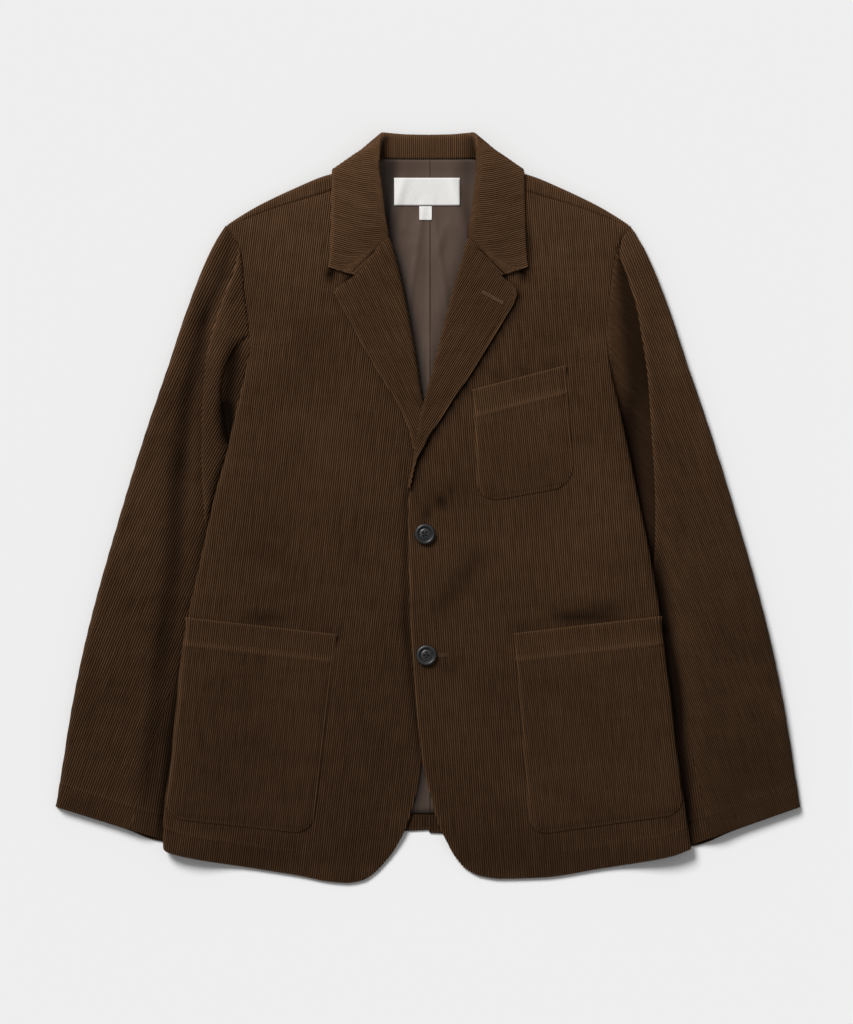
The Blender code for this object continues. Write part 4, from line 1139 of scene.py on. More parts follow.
@dataclass(frozen=True)
class Outline:
    """Edges of a panel seen from above: inner and outer by height, low and high by distance out."""

    inner: Curve
    outer: Curve
    low: Curve
    high: Curve
    inner_roll: float = 0.0
    outer_roll: float = 0.0
    roll_down: Ease = EVERYWHERE
    corner: float = 0.0

    def _corner(self, rise: Array) -> Array:
        """How far a round lower corner keeps the sides in at a height over the low edge."""
        if not self.corner:
            return np.zeros_like(rise)
        left = np.clip(self.corner - rise, 0.0, self.corner)
        return self.corner - np.sqrt(self.corner**2 - left**2)

    def sides(self, y: Array, rise: Array) -> tuple[Array, Array]:
        """Inner and outer edge at each point.

        Args:
            y: height of each point along Y.
            rise: its height over the low edge.

        Returns:
            Distances out of the two edges.
        """
        corner = self._corner(np.maximum(rise, 0.0))
        outer = self.outer(y) - corner
        return np.minimum(self.inner(y) + corner, outer - LEAST_WIDTH), outer

    def keep(self, raw: Array, y: Array, rise: Array) -> Array:
        """Lay cloth between the two sides, round their rolls.

        Args:
            raw: distance out, measured along the cloth.
            y: height of each point along Y.
            rise: its height over the low edge.

        Returns:
            Distance out in plan.
        """
        inner, outer = self.sides(y, rise)
        spare = 0.5 * math.pi - 1.0
        if self.outer_roll:
            rolled = smoothstep(y, self.roll_down)
            cloth = np.maximum(outer + spare * self.outer_roll * rolled - raw, 0.0)
            plan = cloth + (laid_flat(cloth, self.outer_roll) - cloth) * rolled
            raw = outer - plan
        if self.inner_roll:
            cloth = np.maximum(raw - inner + spare * self.inner_roll, 0.0)
            raw = inner + laid_flat(cloth, self.inner_roll)
        return np.clip(raw, inner, outer)

    def lay(self, wales: Wales, rows: Rows, reach: tuple[float, float]) -> tuple[Array, ...]:
        """Points of the panel in plan: a column for each third of a wale.

        Args:
            wales: how the wales run.
            rows: the panel's rows.
            reach: lowest and highest distance out that a wale has at y 0.

        Returns:
            Distances out, heights along Y, inner and outer edge, rise over the low edge and fall
            below the high one, each rows by columns.
        """
        first = math.floor(reach[0] / wales.pitch)
        last = math.ceil(reach[1] / wales.pitch)
        count = (last - first) * COLUMNS_A_WALE + 1
        wale, share = np.meshgrid(np.linspace(first, last, count), rows.share)
        offset = np.broadcast_to(rows.offset[:, None], share.shape)
        out = wale * wales.pitch
        y = self.low(out) * (1.0 - share) + self.high(out) * share + offset
        for _ in range(SETTLE_ROUNDS):
            out = self.keep(wales.out_at(wale, y), y, y - self.low(out))
            y = self.low(out) * (1.0 - share) + self.high(out) * share + offset
        rise = y - self.low(out)
        return out, y, *self.sides(y, rise), rise, self.high(out) - y


@dataclass
class Cloth:
    """Points of one panel of cloth before its wales are pressed in, rows by columns."""

    side: Side
    out: Array
    y: Array
    z: Array
    wale: Array
    # edge marks worn nap with a painted highlight along edges and hems
    edge: Array
    fade: Array
    # painted shade from 0 to 1
    hollow: Array
    faces_down: bool = False
    run: Array | None = None

    def points(self) -> Array:
        """Places in the jacket's frame, in metres."""
        return np.stack([self.side.value * self.out, self.y, self.z], axis=-1) * MM

    def turned(self) -> bool:
        """Whether the grid's faces have to be turned over to point outwards."""
        return (self.side is Side.RIGHT) is not self.faces_down


def mesh_of(work: bmesh.types.BMesh, name: str) -> Mesh:
    """Turn finished work into a mesh."""
    mesh = bpy.data.meshes.new(name)
    work.to_mesh(mesh)
    work.free()
    return mesh


def linked(name: str, data: bpy.types.ID) -> Object:
    """Object in the scene, at the origin."""
    made = bpy.data.objects.new(name, data)
    bpy.context.scene.collection.objects.link(made)
    return made


def object_of(name: str, mesh: Mesh, material: Material) -> Object:
    """Object with one finish, at the origin."""
    mesh.materials.clear()
    mesh.materials.append(material)
    return linked(name, mesh)


def held_by(items: Any, name: str, width: int = 1) -> Array:
    """Numbers that a mesh holds, a row for each of its items."""
    flat = np.empty(len(items) * width, np.float32)
    items.foreach_get(name, flat)
    return flat.reshape(-1, width)


def pressed_mesh(name: str, panels: Sequence[Cloth]) -> Mesh:
    """Face of a cloth piece with its wales in relief.

    Args:
        name: the piece's name.
        panels: its panels, each a grid of points and what the finish reads from them.

    Returns:
        The mesh, with a mark for each value that the finish reads.
    """
    grid = bmesh.new()
    for panel in panels:
        rows, columns = panel.y.shape
        made = bmesh.ops.create_grid(grid, x_segments=columns - 1, y_segments=rows - 1, size=0.5)
        if panel.turned():
            faces = {face for vert in made["verts"] for face in vert.link_faces}
            bmesh.ops.reverse_faces(grid, faces=list(faces))
    mesh = mesh_of(grid, name)
    flat = held_by(mesh.vertices, "co", 3)
    place = []
    # Marks for the finish, among them the painted highlight on edges and the painted shade
    marks = {"wale": [], "run": [], "edge": [], "fade": [], "hollow": []}
    first = 0
    for panel in panels:
        rows, columns = panel.y.shape
        own = flat[first:first + rows * columns]
        first += rows * columns
        column = np.rint((own[:, 0] + 0.5) * (columns - 1)).astype(int)
        row = np.rint((own[:, 1] + 0.5) * (rows - 1)).astype(int)
        place.append(panel.points()[row, column])
        run = panel.y if panel.run is None else panel.run
        values = (panel.wale, run, panel.edge, panel.fade, panel.hollow)
        for mark, value in zip(marks.values(), values):
            mark.append(value[row, column])
    mesh.vertices.foreach_set("co", np.concatenate(place).astype(np.float32).ravel())
    for mark, values in marks.items():
        layer = mesh.attributes.new(mark, "FLOAT", "POINT")
        layer.data.foreach_set("value", np.concatenate(values).astype(np.float32))
    work = bmesh.new()
    work.from_mesh(mesh)
    bmesh.ops.remove_doubles(work, verts=work.verts, dist=MERGE)
    bmesh.ops.dissolve_degenerate(work, edges=work.edges, dist=DEGENERATE)
    work.to_mesh(mesh)
    work.free()
    press_wales(mesh)
    mesh.shade_smooth()
    return mesh


def groove_at(wale: Array) -> Array:
    """How far down in a groove a place lies: 1 at a whole count of wales, 0 half way between."""
    return 0.5 + 0.5 * np.cos(math.tau * wale)


def press_wales(mesh: Mesh) -> None:
    """Press the grooves between the wales into a mesh, along its normals."""
    wale = held_by(mesh.attributes["wale"].data, "value")
    fade = held_by(mesh.attributes["fade"].data, "value")
    depth = GROOVE_DEPTH * MM * groove_at(wale) * fade
    moved = held_by(mesh.vertices, "co", 3) - held_by(mesh.vertex_normals, "vector", 3) * depth
    mesh.vertices.foreach_set("co", moved.astype(np.float32).ravel())
    mesh.attributes.remove(mesh.attributes["fade"])
    mesh.update()


def settle(piece: Object, node: str) -> None:
    """Put a piece in the jacket's one body in place of its node.

    Args:
        piece: the piece.
        node: the node that it stands for.
    """
    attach(piece, "root")
    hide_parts(node)
    LOG.info("%s: %d points", piece.name, len(piece.data.vertices))


def cloth_piece(
    name: str,
    panels: Sequence[Cloth],
    material: Material,
    thickness: float = LAY.cloth,
    offset: float = -1.0,
) -> Object:
    """Make a sheet of cloth in place of its node.

    Args:
        name: the cloth's word and the node's name, joined by an underscore.
        panels: its panels.
        material: its finish.
        thickness: thickness of its wall, in millimetres.
        offset: where its wall lies: -1 under its points, 0 on both sides of them.

    Returns:
        The piece.
    """
    piece = object_of(name, pressed_mesh(name, panels), material)
    wall = piece.modifiers.new("cloth", "SOLIDIFY")
    wall.thickness = thickness * MM
    wall.offset = offset
    settle(piece, name.split("_", 1)[1])
    return piece


def nearest(distances: Sequence[Array]) -> Array:
    """Distance to whichever edge is nearest."""
    return np.minimum.reduce([np.abs(distance) for distance in distances])


def soften(distances: Sequence[Array]) -> tuple[Array, Array]:
    """How much free edges are rounded down, and how worn their nap is with a painted highlight on it.

    Args:
        distances: distance to each free edge.

    Returns:
        The drop in millimetres and the mark of worn nap with a painted highlight, from 0 to 1.
    """
    near = nearest(distances)
    return SOFT_EDGE * bell(near, SOFT_EDGE_WIDTH), bell(near, WEAR_AND_HIGHLIGHT_WIDTH)


def hem_crease(distance: Array, at: float, above: float = 1.0) -> Array:
    """Trough of a hem's stitching at a distance from the edge, with a soft ridge above it."""
    trough = bell(distance - at, CREASE_WIDTH)
    ridge = bell(distance - at - HEM_RIDGE * above, RIDGE_WIDTH)
    return HEM_CREASE * (RIDGE_SHARE * ridge - trough)


def hem_marks(distance: Array, at: float, above: float = 1.0) -> tuple[Array, Array]:
    """Painted highlight on a hem's ridge, and painted shade in its trough, from 0 to 1."""
    light = bell(distance - at - HEM_RIDGE * above, CREASE_WIDTH)
    shade = bell(distance - at + TROUGH_SHADE_BELOW * above, CREASE_WIDTH)
    return HEM_LIGHT * light, HEM_SHADE * shade


def notched(wale: Array, rise: Array) -> Array:
    """How far up a hem's edge is drawn in between the wales."""
    return NOTCH * groove_at(wale) * bell(rise, NOTCH_RISE)


def fade_at(distances: Sequence[Array]) -> Array:
    """Grooves run out towards the edges, from 1 inside to a part of it on the edge."""
    return EDGE_GROOVE + (1.0 - EDGE_GROOVE) * smoothstep(nearest(distances), GROOVE_FADE)


@dataclass
class Body:
    """Fronts and back."""

    wales: dict = by_side(
        Wales(lean=0.072, spread=0.00006, pitch=2.27), Wales(lean=0.122, spread=0.00006, pitch=2.27)
    )
    back_wales: Wales = Wales(lean=0.0, spread=0.0006, pitch=2.4)
    front_rows: Rows = Rows.graded(
        (0.0, 1.0, 2.4, 5.0, 10.0, 17.0, 20.4, 22.6, 24.0, 25.4, 28.0, 34.0), (0.0, 1.0, 2.4, 5.0, 9.0), 52
    )
    back_rows: Rows = Rows.graded((0.0, 1.0, 3.0, 8.0, 18.0, 26.0), (0.0, 6.0), 44)
    hem_stitch: float = 24.0
    seam_dip: float = 0.25
    crease_lift: Ease = Ease(0.0, 1.5)
    wrap_angles: tuple = (15.0, 30.0, 45.0, 60.0, 75.0, 90.0)
    strip_rows: int = 8
    strip_start: float = 0.15
    # Painted shadow on the front beside each lapel's free edge
    lapel_shade: dict = by_side(0.85, 0.15)
    lapel_shade_width: float = 6.0
    reach: tuple = (-75.0, 262.0)
    back_reach: tuple = (-6.0, 262.0)
    centre: dict = by_side(2.0, -2.0)
    front_cut: Cut = Cut(0.32, 0.76, 0.175)
    back_cut: Cut = Cut(0.30, 0.76, 0.165)

    def front_outline(self, side: Side) -> Outline:
        """Edges of a front."""
        return Outline(
            inner=out_curve(FRONT_EDGE[side]),
            outer=lambda y: body_edge(side, y),
            low=y_curve(FRONT_HEM[side]),
            high=shoulder_seam,
            outer_roll=LAY.edge_roll,
            roll_down=ARMHOLE_TO_SIDE,
        )

    def front(self, side: Side, material: Material) -> Object:
        """Make one front."""
        outline = self.front_outline(side)
        wales = self.wales[side]
        out, y, inner, outer, rise, fall = outline.lay(wales, self.front_rows, self.reach)
        drop, edge = soften([out - inner, rise])
        seam, _ = soften([outer - out + NO_EDGE * (y < ARMHOLE_TO_SIDE.end), fall])
        sewn = smoothstep(out, HEM_SEWN_OUT)
        # The hem's ridge gets a painted highlight and its trough painted shade; painted shade also lies in
        # creases, under and beside the collar's tips, above the pocket mouths and along the lapped front edge
        light, shade = hem_marks(rise, self.hem_stitch)
        z = front_top(side, out, y) - drop - self.seam_dip * seam + hem_crease(rise, self.hem_stitch) * sewn
        fade = fade_at([out - inner, rise, outer - out, fall])
        edge = edge + light * sewn
        hollow = hollow_at(BODY_PAINTED_SHADE[side], out, y) + shade * sewn + self.under_lapel(side, out, y)
        wale = wales.wale_at(out, y)
        cloth = Cloth(side, out, y + notched(wale, rise), z, wale, edge, fade, hollow)
        name = f"corduroy_front_{side.word}"
        return cloth_piece(name, [cloth], material)

    def under_lapel(self, side: Side, out: Array, y: Array) -> Array:
        """Painted shadow of a lapel on the front, just outside its free edge."""
        edge = out_curve(LAPEL_EDGE[side])
        aside = square_to(edge, y, out - edge(y))
        along = smoothstep(y, LAPEL_FOOT_UP) * smoothstep(y, LAPEL_TIP_DOWN)
        return self.lapel_shade[side] * along * bell(aside, self.lapel_shade_width)

    def back(self, side: Side, material: Material) -> Object:
        """Make half of the back, which lies on the surface and wraps over the shoulder."""
        centre = self.centre[side]
        outline = Outline(
            inner=level(centre),
            outer=lambda y: body_edge(side, y) - LAY.lay_margin * smoothstep(y, MARGIN_DOWN),
            low=y_curve(BACK_HEM[side]),
            high=lambda out: shoulder_line(out) - LAY.shoulder_roll,
        )
        out, y, *_ = outline.lay(self.back_wales, self.back_rows, self.back_reach)
        lifted = underside(side, out, y)
        creases = fold_height(BACK_CREASES, out, y) * smoothstep(lifted, self.crease_lift)
        z = lifted + np.abs(creases)
        rows = [(out, y, z)]
        top = np.minimum(out[-1], LAY.shoulder_tip)
        line = shoulder_line(top)
        base = underside(side, top, line)
        for angle in np.radians(self.wrap_angles):
            turn = line - LAY.shoulder_roll * (1.0 - math.sin(angle))
            rows.append((top, turn, base + 0.5 * LAY.body * (1.0 - math.cos(angle))))
        strip = line - shoulder_seam(top) - LAY.shoulder_gap
        for part in np.linspace(self.strip_start, 1.0, self.strip_rows):
            seam_y = line - strip * part * part
            rows.append((top, seam_y, front_top(side, top, seam_y)))
        wrapped = top >= LAY.neck_half
        last = rows[0][0][-1], rows[0][1][-1], rows[0][2][-1]
        folded = [tuple(np.where(wrapped, new, old) for new, old in zip(row, last)) for row in rows[1:]]
        out, y, z = (np.vstack([rows[0][axis]] + [row[axis] for row in folded]) for axis in range(3))
        rise = y - outline.low(out)
        inner, outer = outline.sides(y, rise)
        fade = fade_at([out - inner, outer - out, rise])
        _, edge = soften([rise])
        wale = self.back_wales.wale_at(out, np.minimum(y, outline.high(out)))
        cloth = Cloth(side, out, y, z, wale, edge, fade, 0.0 * out, faces_down=True)
        return cloth_piece(f"corduroy_back_{side.word}", [cloth], material)


# How far the closer rows of a panel lie from its cuff
CUFF_ROWS = (0.0, 1.0, 2.4, 5.0, 11.0, 18.0, 21.4, 23.6, 25.0, 26.4, 29.0, 36.0)


@dataclass
class Sleeves:
    """Two-piece sleeves: the upper piece arches over the flat under piece.

    Beside the armhole the upper piece folds on itself, and above the cuff the under piece
    comes round to the face along the sleeve's seam.
    """

    wales: dict = by_side(
        Wales(lean=0.51, turn=-0.00012, spread=-0.0004, pitch=2.36),
        Wales(lean=0.535, turn=-0.0003, spread=-0.0003, pitch=2.82),
    )
    fold_wales: dict = by_side(Wales(lean=0.95, pitch=2.7), Wales(lean=0.55, pitch=2.95))
    strip_wales: Wales = Wales(lean=0.17, pitch=2.4)
    rows: Rows = Rows.graded(CUFF_ROWS, (0.0, 1.2, 3.5, 8.0, 14.0), 62)
    fold_rows: Rows = Rows.graded((0.0, 3.0), (0.0, 2.0, 6.0), 48)
    strip_rows: Rows = Rows.graded(CUFF_ROWS, (0.0,), 20)
    cuff_stitch: float = 25.0
    cuff_inner: dict = by_side(Spot(261.8, -359.0), Spot(261.8, -353.5))
    cuff_slack: float = 2.4
    slack_out: float = 292.0
    slack_width: float = 17.0
    head_y: float = 296.3
    under_head_y: float = 290.0
    fold_low_y: dict = by_side(-75.0, -52.0)
    fold_high_y: dict = by_side(280.0, 271.0)
    strip_high_y: float = -118.0
    reach: tuple = (90.0, 366.0)
    fold_reach: tuple = (90.0, 480.0)
    strip_reach: tuple = (170.0, 290.0)
    seam_slit: float = 0.05
    seam_dip: float = 0.25
    seam_step: float = 0.4
    seam_ease: float = 7.0
    # Painted shade in the left sleeve's recess
    recess_shade: float = 0.70
    recess_low_shade: float = 1.0
    fold_roll: float = 3.2
    fold_drop: float = 4.2
    under_lap: float = 7.0
    # Painted highlight along the fold line
    fold_light: float = 0.55
    recess_open: float = 0.6
    recess_slack: float = 0.3
    ridge_seam: float = 2.0
    recess_floor: float = 4.5
    recess_seam: float = 8.2
    recess_clear: float = 4.9
    recess_top_rise: float = 2.0
    ridge_lift: float = 2.3
    ridge_crown: float = 1.6
    lowest: float = 4.4
    top_cut: Cut = Cut(0.22, 0.68, 0.092)
    under_cut: Cut = Cut(0.21, 0.67, 0.088)

    def cuff_y(self, side: Side) -> Curve:
        """Height along Y of a cuff's edge."""
        inner = self.cuff_inner[side]
        slope = (SLEEVE_EDGE[0].y - inner.y) / (SLEEVE_EDGE[0].out - inner.out)
        return lambda out: inner.y + (out - inner.out) * slope

    def _tucked(self, side: Side, gap: float) -> Curve:
        """Armhole seam, and below it the edge that is tucked under the body."""
        return lambda y: body_edge(side, y) + gap - (LAY.tuck + gap) * smoothstep(y, TUCK_DOWN)

    def _main(self, side: Side) -> Cloth:
        """Face of the upper piece."""
        tucked = self._tucked(side, LAY.seam_gap)
        fold_line = out_curve(SLEEVE_FOLD_LINE[side])
        seam = out_curve(SLEEVE_SEAM[side])
        folded = side is Side.LEFT

        def inner_edge(y: Array) -> Array:
            """Armhole seam, fold and sleeve seam, whichever lies farthest out."""
            edge = np.maximum(tucked(y), seam(y))
            return np.maximum(edge, fold_line(y)) if folded else edge

        outline = Outline(
            inner=inner_edge,
            outer=sleeve_edge,
            low=self.cuff_y(side),
            high=level(self.head_y),
            inner_roll=self.fold_roll if folded else 0.0,
            outer_roll=LAY.sleeve_roll,
        )
        wales = self.wales[side]
        out, y, inner, _, rise, _ = outline.lay(wales, self.rows, self.reach)
        # Painted shade in the sleeve's folds and beside the body; the cuff's hem gets a painted highlight on
        # its ridge and painted shade in its trough
        hollow = hollow_at(SLEEVE_PAINTED_SHADE[side], out, y)
        drop, edge = soften([rise])
        light, shade = hem_marks(rise, self.cuff_stitch)
        hidden = (y < TUCK_DOWN.start) & (y > SEAM_SHOWS_Y)
        at_seam, _ = soften([out - inner + NO_EDGE * hidden])
        z = sleeve_top(side, out, y) - drop - self.seam_dip * at_seam + hem_crease(rise, self.cuff_stitch)
        z = z + self._to_body(side, out, y, z)
        if folded:
            turned_in = smoothstep(y, FOLD_FROM) * smoothstep(y, FOLD_TO)
            z = z - self.fold_drop * (1.0 - quarter(out - inner, self.fold_roll)) * turned_in
            # Painted highlight along the fold line
            edge = np.maximum(edge, self.fold_light * turned_in * bell(out - inner, WEAR_AND_HIGHLIGHT_WIDTH))
        z = np.maximum(z, self.lowest)
        fade = fade_at([rise, out - inner])
        if folded:
            fade = fade * (1.0 - turned_in * smoothstep(out - inner, FOLD_SMOOTH_OUT))
        wale = wales.wale_at(out, y)
        return Cloth(side, out, y + notched(wale, rise), z, wale, edge + light, fade, hollow + shade)

    def _to_body(self, side: Side, out: Array, y: Array, z: Array) -> Array:
        """How far the cloth rises to the front's face beside the armhole seam."""
        seam = body_edge(side, y)
        front = front_top(side, seam, y) - self.seam_step
        near = bell(out - seam, self.seam_ease) * smoothstep(y, SEAM_LEVEL_UP)
        return np.maximum(front - z, 0.0) * near

    def _fold(self, side: Side) -> Cloth:
        """Cloth of the upper piece beside the armhole: a recess on the left, a ridge on the right."""
        tucked = self._tucked(side, LAY.seam_gap)
        fold_line = out_curve(SLEEVE_FOLD_LINE[side])
        gap_line = out_curve(SLEEVE_GAP)
        recess = side is Side.LEFT
        low, high = self.fold_low_y[side], self.fold_high_y[side]
        outline = Outline(
            inner=tucked if recess else lambda y: np.maximum(body_edge(side, y) + LAY.seam_gap, gap_line(y)),
            outer=(lambda y: fold_line(y) + self.under_lap) if recess else fold_line,
            low=level(low),
            high=level(high),
            outer_roll=0.0 if recess else self.fold_roll,
        )
        wales = self.fold_wales[side]
        out, y, inner, outer, _, _ = outline.lay(wales, self.fold_rows, self.fold_reach)
        # Painted shade in the sleeve's folds and beside the body
        hollow = hollow_at(SLEEVE_PAINTED_SHADE[side], out, y)
        face = sleeve_top(side, out, y)
        part = (out - inner) / np.maximum(fold_line(y) - inner, 1.0)
        if recess:
            floor = self.recess_floor + self.recess_top_rise * smoothstep(y, RECESS_TOP)
            seam_level = floor + (self.recess_seam - floor) * smoothstep(y, RECESS_UP)
            z = floor + (seam_level - floor) * smoothstep(part, RECESS_ACROSS)
            clear = self.recess_clear - self.recess_top_rise * smoothstep(y, RECESS_TOP)
            below = np.minimum(z, np.maximum(face - clear, self.recess_floor - self.recess_slack))
            z = z + (below - z) * smoothstep(out - fold_line(y), RECESS_UNDER)
            z = z + self._to_body(side, out, y, z) * (1.0 - smoothstep(part, RECESS_LIFT_ACROSS))
            edge = 0.0 * out
            fade = fade_at([out - inner])
            # Painted shade in the recess: high up it grows towards the fold, low down it is darkest beside
            # the body and eases towards the fold
            above = self.recess_shade * smoothstep(part, RECESS_SHADE_ACROSS)
            opening = self.recess_open * smoothstep(part, RECESS_OPEN_ACROSS)
            below_all = self.recess_low_shade * (1.0 - opening)
            hollow = hollow + above + (below_all - above) * smoothstep(y, RECESS_BLACK_DOWN)
        else:
            crown = self.ridge_crown * np.sin(math.pi * np.clip(part, 0.0, 1.0))
            roll = self.fold_drop * (1.0 - quarter(outer - out, self.fold_roll))
            inside, _ = soften([out - inner])
            at_armhole = self._to_body(side, out, y, face)
            z = face + np.maximum(self.ridge_lift + crown - self.ridge_seam * inside, at_armhole) - roll
            _, edge = soften([outer - out])
            fade = fade_at([outer - out, out - inner])
        return Cloth(side, out, y, z, wales.wale_at(out, y), edge, fade, np.clip(hollow, 0.0, 1.0))

    def _strip(self, side: Side) -> Cloth:
        """Part of the under piece that comes round to the face above the cuff."""
        seam = out_curve(SLEEVE_SEAM[side])
        outline = Outline(
            inner=self._tucked(side, LAY.seam_gap),
            outer=lambda y: seam(y) - self.seam_slit,
            low=self.cuff_y(side),
            high=level(self.strip_high_y),
        )
        out, y, _, outer, rise, _ = outline.lay(self.strip_wales, self.strip_rows, self.strip_reach)
        # Painted shade in the folds, and a painted highlight and painted shade on the cuff's hem
        hollow = hollow_at(SLEEVE_PAINTED_SHADE[side], out, y)
        drop, edge = soften([rise])
        at_seam, _ = soften([outer - out])
        light, shade = hem_marks(rise, self.cuff_stitch)
        z = sleeve_top(side, out, y) - drop - self.seam_dip * at_seam + hem_crease(rise, self.cuff_stitch)
        fade = fade_at([rise, outer - out])
        wale = self.strip_wales.wale_at(out, y)
        return Cloth(side, out, y + notched(wale, rise), z, wale, edge + light, fade, hollow + shade)

    def top(self, side: Side, material: Material) -> Object:
        """Make the upper piece."""
        panels = [self._main(side), self._fold(side)]
        name, lies_on = f"corduroy_sleeve_top_{side.word}", f"sleeve_under_{side.word}"
        return cloth_piece(name, panels, material)

    def under(self, side: Side, material: Material) -> Object:
        """Make the under piece: flat on the surface, and its strip on the face."""

        def slack_cuff(out: Array) -> Array:
            """Cuff of the under piece, which hangs a little below the upper one's."""
            slack = bell(out - self.slack_out, self.slack_width)
            return self.cuff_y(side)(out) - self.cuff_slack * slack

        outline = Outline(
            inner=self._tucked(side, LAY.under_gap),
            outer=lambda y: sleeve_edge(y) - LAY.lay_margin,
            low=slack_cuff,
            high=level(self.under_head_y),
        )
        wales = self.wales[side]
        out, y, _, _, rise, _ = outline.lay(wales, self.rows, self.reach)
        _, edge = soften([rise])
        wale = wales.wale_at(out, y)
        flat = Cloth(side, out, y, 0.0 * out, wale, edge, fade_at([rise]), 0.0 * out, faces_down=True)
        panels = [flat, self._strip(side)]
        name = f"corduroy_sleeve_under_{side.word}"
        return cloth_piece(name, panels, material)


@dataclass
class Lapels:
    """Notched lapels, turned back along their roll lines."""

    wales: dict = by_side(Wales(lean=-0.615, pitch=2.4), Wales(lean=-0.48, pitch=2.45))
    rows: Rows = Rows.graded(
        (0.0, 1.0, 2.5, 4.2, 6.0, 8.0, 10.0, 12.0, 14.0, 16.0, 18.0, 20.0, 22.5, 25.5),
        (0.0, 1.5, 4.0, 8.0),
        44,
    )
    reach: tuple = (-130.0, 40.0)
    cut: Cut = Cut(0.115, 0.29, 0.0150)

    def build(self, side: Side, material: Material) -> Object:
        """Make one lapel."""
        roll_line = ROLL_LINE[side]
        outline = Outline(
            inner=out_curve(roll_line),
            outer=out_curve(LAPEL_EDGE[side]),
            low=level(LAPEL_EDGE[side][0].y),
            high=level(roll_line[-1].y),
            inner_roll=LAY.lapel_roll,
        )
        wales = self.wales[side]
        out, y, inner, outer, _, _ = outline.lay(wales, self.rows, self.reach)
        from_roll = square_to(outline.inner, y, out - inner)
        ground = front_top(side, out, y)
        puff = LAY.lapel_puff * smoothstep(from_roll, LAPEL_PUFF_OUT)
        if side is Side.RIGHT:
            puff = puff * smoothstep(y, UNDERLAP_PUFF_UP)
        plateau = ground + LAY.patch_gap + LAY.cloth + puff
        foot = ground - LAY.cloth
        drop, edge = soften([outer - out])
        free = 1.0 - smoothstep(y, GORGE_UP)
        drop = (drop - EDGE_RIDGE * hem_crease(outer - out, EDGE_STITCH, -1.0)) * free
        edge = edge * free
        z = foot + (plateau - foot) * quarter(from_roll, LAY.lapel_roll) - drop
        smooth = smoothstep(from_roll, ROLL_SMOOTH_OUT) * smoothstep(y, ROLL_SMOOTH_DOWN)
        fade = fade_at([outer - out]) * (1.0 - smooth)
        cloth = Cloth(side, out, y, z, wales.wale_at(out, y), edge, fade, 0.0 * out)
        return cloth_piece(f"corduroy_lapel_{side.word}", [cloth], material)


@dataclass
class Collar:
    """Collar whose stand lies inside the neck and whose leaf folds over outside it."""

    pitch: float = 2.15
    rows: int = 34
    samples: int = 520
    leaf_knots: tuple = (3.0, 4.0, 5.0, 6.0)
    leaf_widths: tuple = (0.0, 6.0, 28.0, 52.0)
    slant: float = 0.15
    slant_along: Ease = Ease(35.0, 85.0)
    # Painted shade over the whole collar, more inside the stand and most at the stand's ends
    shade: float = 0.165
    stand_dim: float = 0.09
    stand_shade: float = 0.5
    stand_end: float = 47.0
    stand_end_width: float = 6.5
    cut: Cut = Cut(0.10, 0.46, 0.036)

    def _lines(self) -> Array:
        """Lines along half the collar, one for each row from the neck seam to the leaf's edge."""
        points = np.array(COLLAR, float)
        sections, knots, _ = points.shape
        across = np.linspace(0.0, knots - 1.0, self.rows)
        down = np.linspace(0.0, sections - 1.0, self.samples)

        def smooth(knots: int, row: Array, at: Array) -> Array:
            """Smooth line through a row of points, read at some places."""
            return np.stack([through(range(knots), row[:, axis], at) for axis in range(3)], axis=-1)

        by_section = np.stack([smooth(knots, section, across) for section in points])
        return np.stack([smooth(sections, by_section[:, line], down) for line in range(self.rows)])

    def build(self, material: Material) -> Object:
        """Make the collar: its wales stay square to its length, counted from the middle."""
        lines = self._lines()
        step = self.pitch / COLUMNS_A_WALE
        steps = [np.linalg.norm(np.diff(line, axis=0), axis=1) for line in lines]
        lengths = [np.concatenate(([0.0], np.cumsum(lengthwise))) for lengthwise in steps]
        longest = max(length[-1] for length in lengths)
        half = math.ceil(longest / step)
        along = np.arange(-half, half + 1) * step
        shape = (self.rows, len(along))
        out, y, z, wale, short = (np.empty(shape) for _ in range(5))
        knots = np.linspace(0.0, len(CollarRow._fields) - 1.0, self.rows)
        from_fold = np.interp(knots, self.leaf_knots, self.leaf_widths)
        for row, (line, length) in enumerate(zip(lines, lengths)):
            slanted = self.slant * from_fold[row] * smoothstep(np.abs(along), self.slant_along)
            at = np.minimum(np.abs(along) + slanted, length[-1])
            out[row] = np.sign(along) * np.interp(at, length, line[:, 0])
            y[row] = np.interp(at, length, line[:, 1])
            z[row] = np.interp(at, length, line[:, 2])
            wale[row] = along / self.pitch
            short[row] = length[-1] - at
        steps = np.linalg.norm(np.diff(np.stack([out, y, z], axis=-1), axis=0), axis=-1)
        from_seam = np.concatenate([np.zeros((1, shape[1])), np.cumsum(steps, axis=0)])
        from_edge = from_seam[-1] - from_seam
        _, edge = soften([from_edge, short])
        z = z + EDGE_RIDGE * hem_crease(from_edge, EDGE_STITCH, -1.0)
        # Painted shade: a little over the whole collar, more inside the stand, most at its ends
        at_end = bell(np.abs(out) - self.stand_end, self.stand_end_width)
        inside = smoothstep(from_seam, STAND_TO_FOLD) * smoothstep(y, STAND_UP)
        hollow = self.shade + (self.stand_dim + self.stand_shade * at_end) * inside
        fade = fade_at([from_edge, short])
        cloth = Cloth(Side.LEFT, out, y, z, wale, edge, fade, hollow, run=from_seam)
        return cloth_piece("corduroy_collar", [cloth], material, offset=0.0)


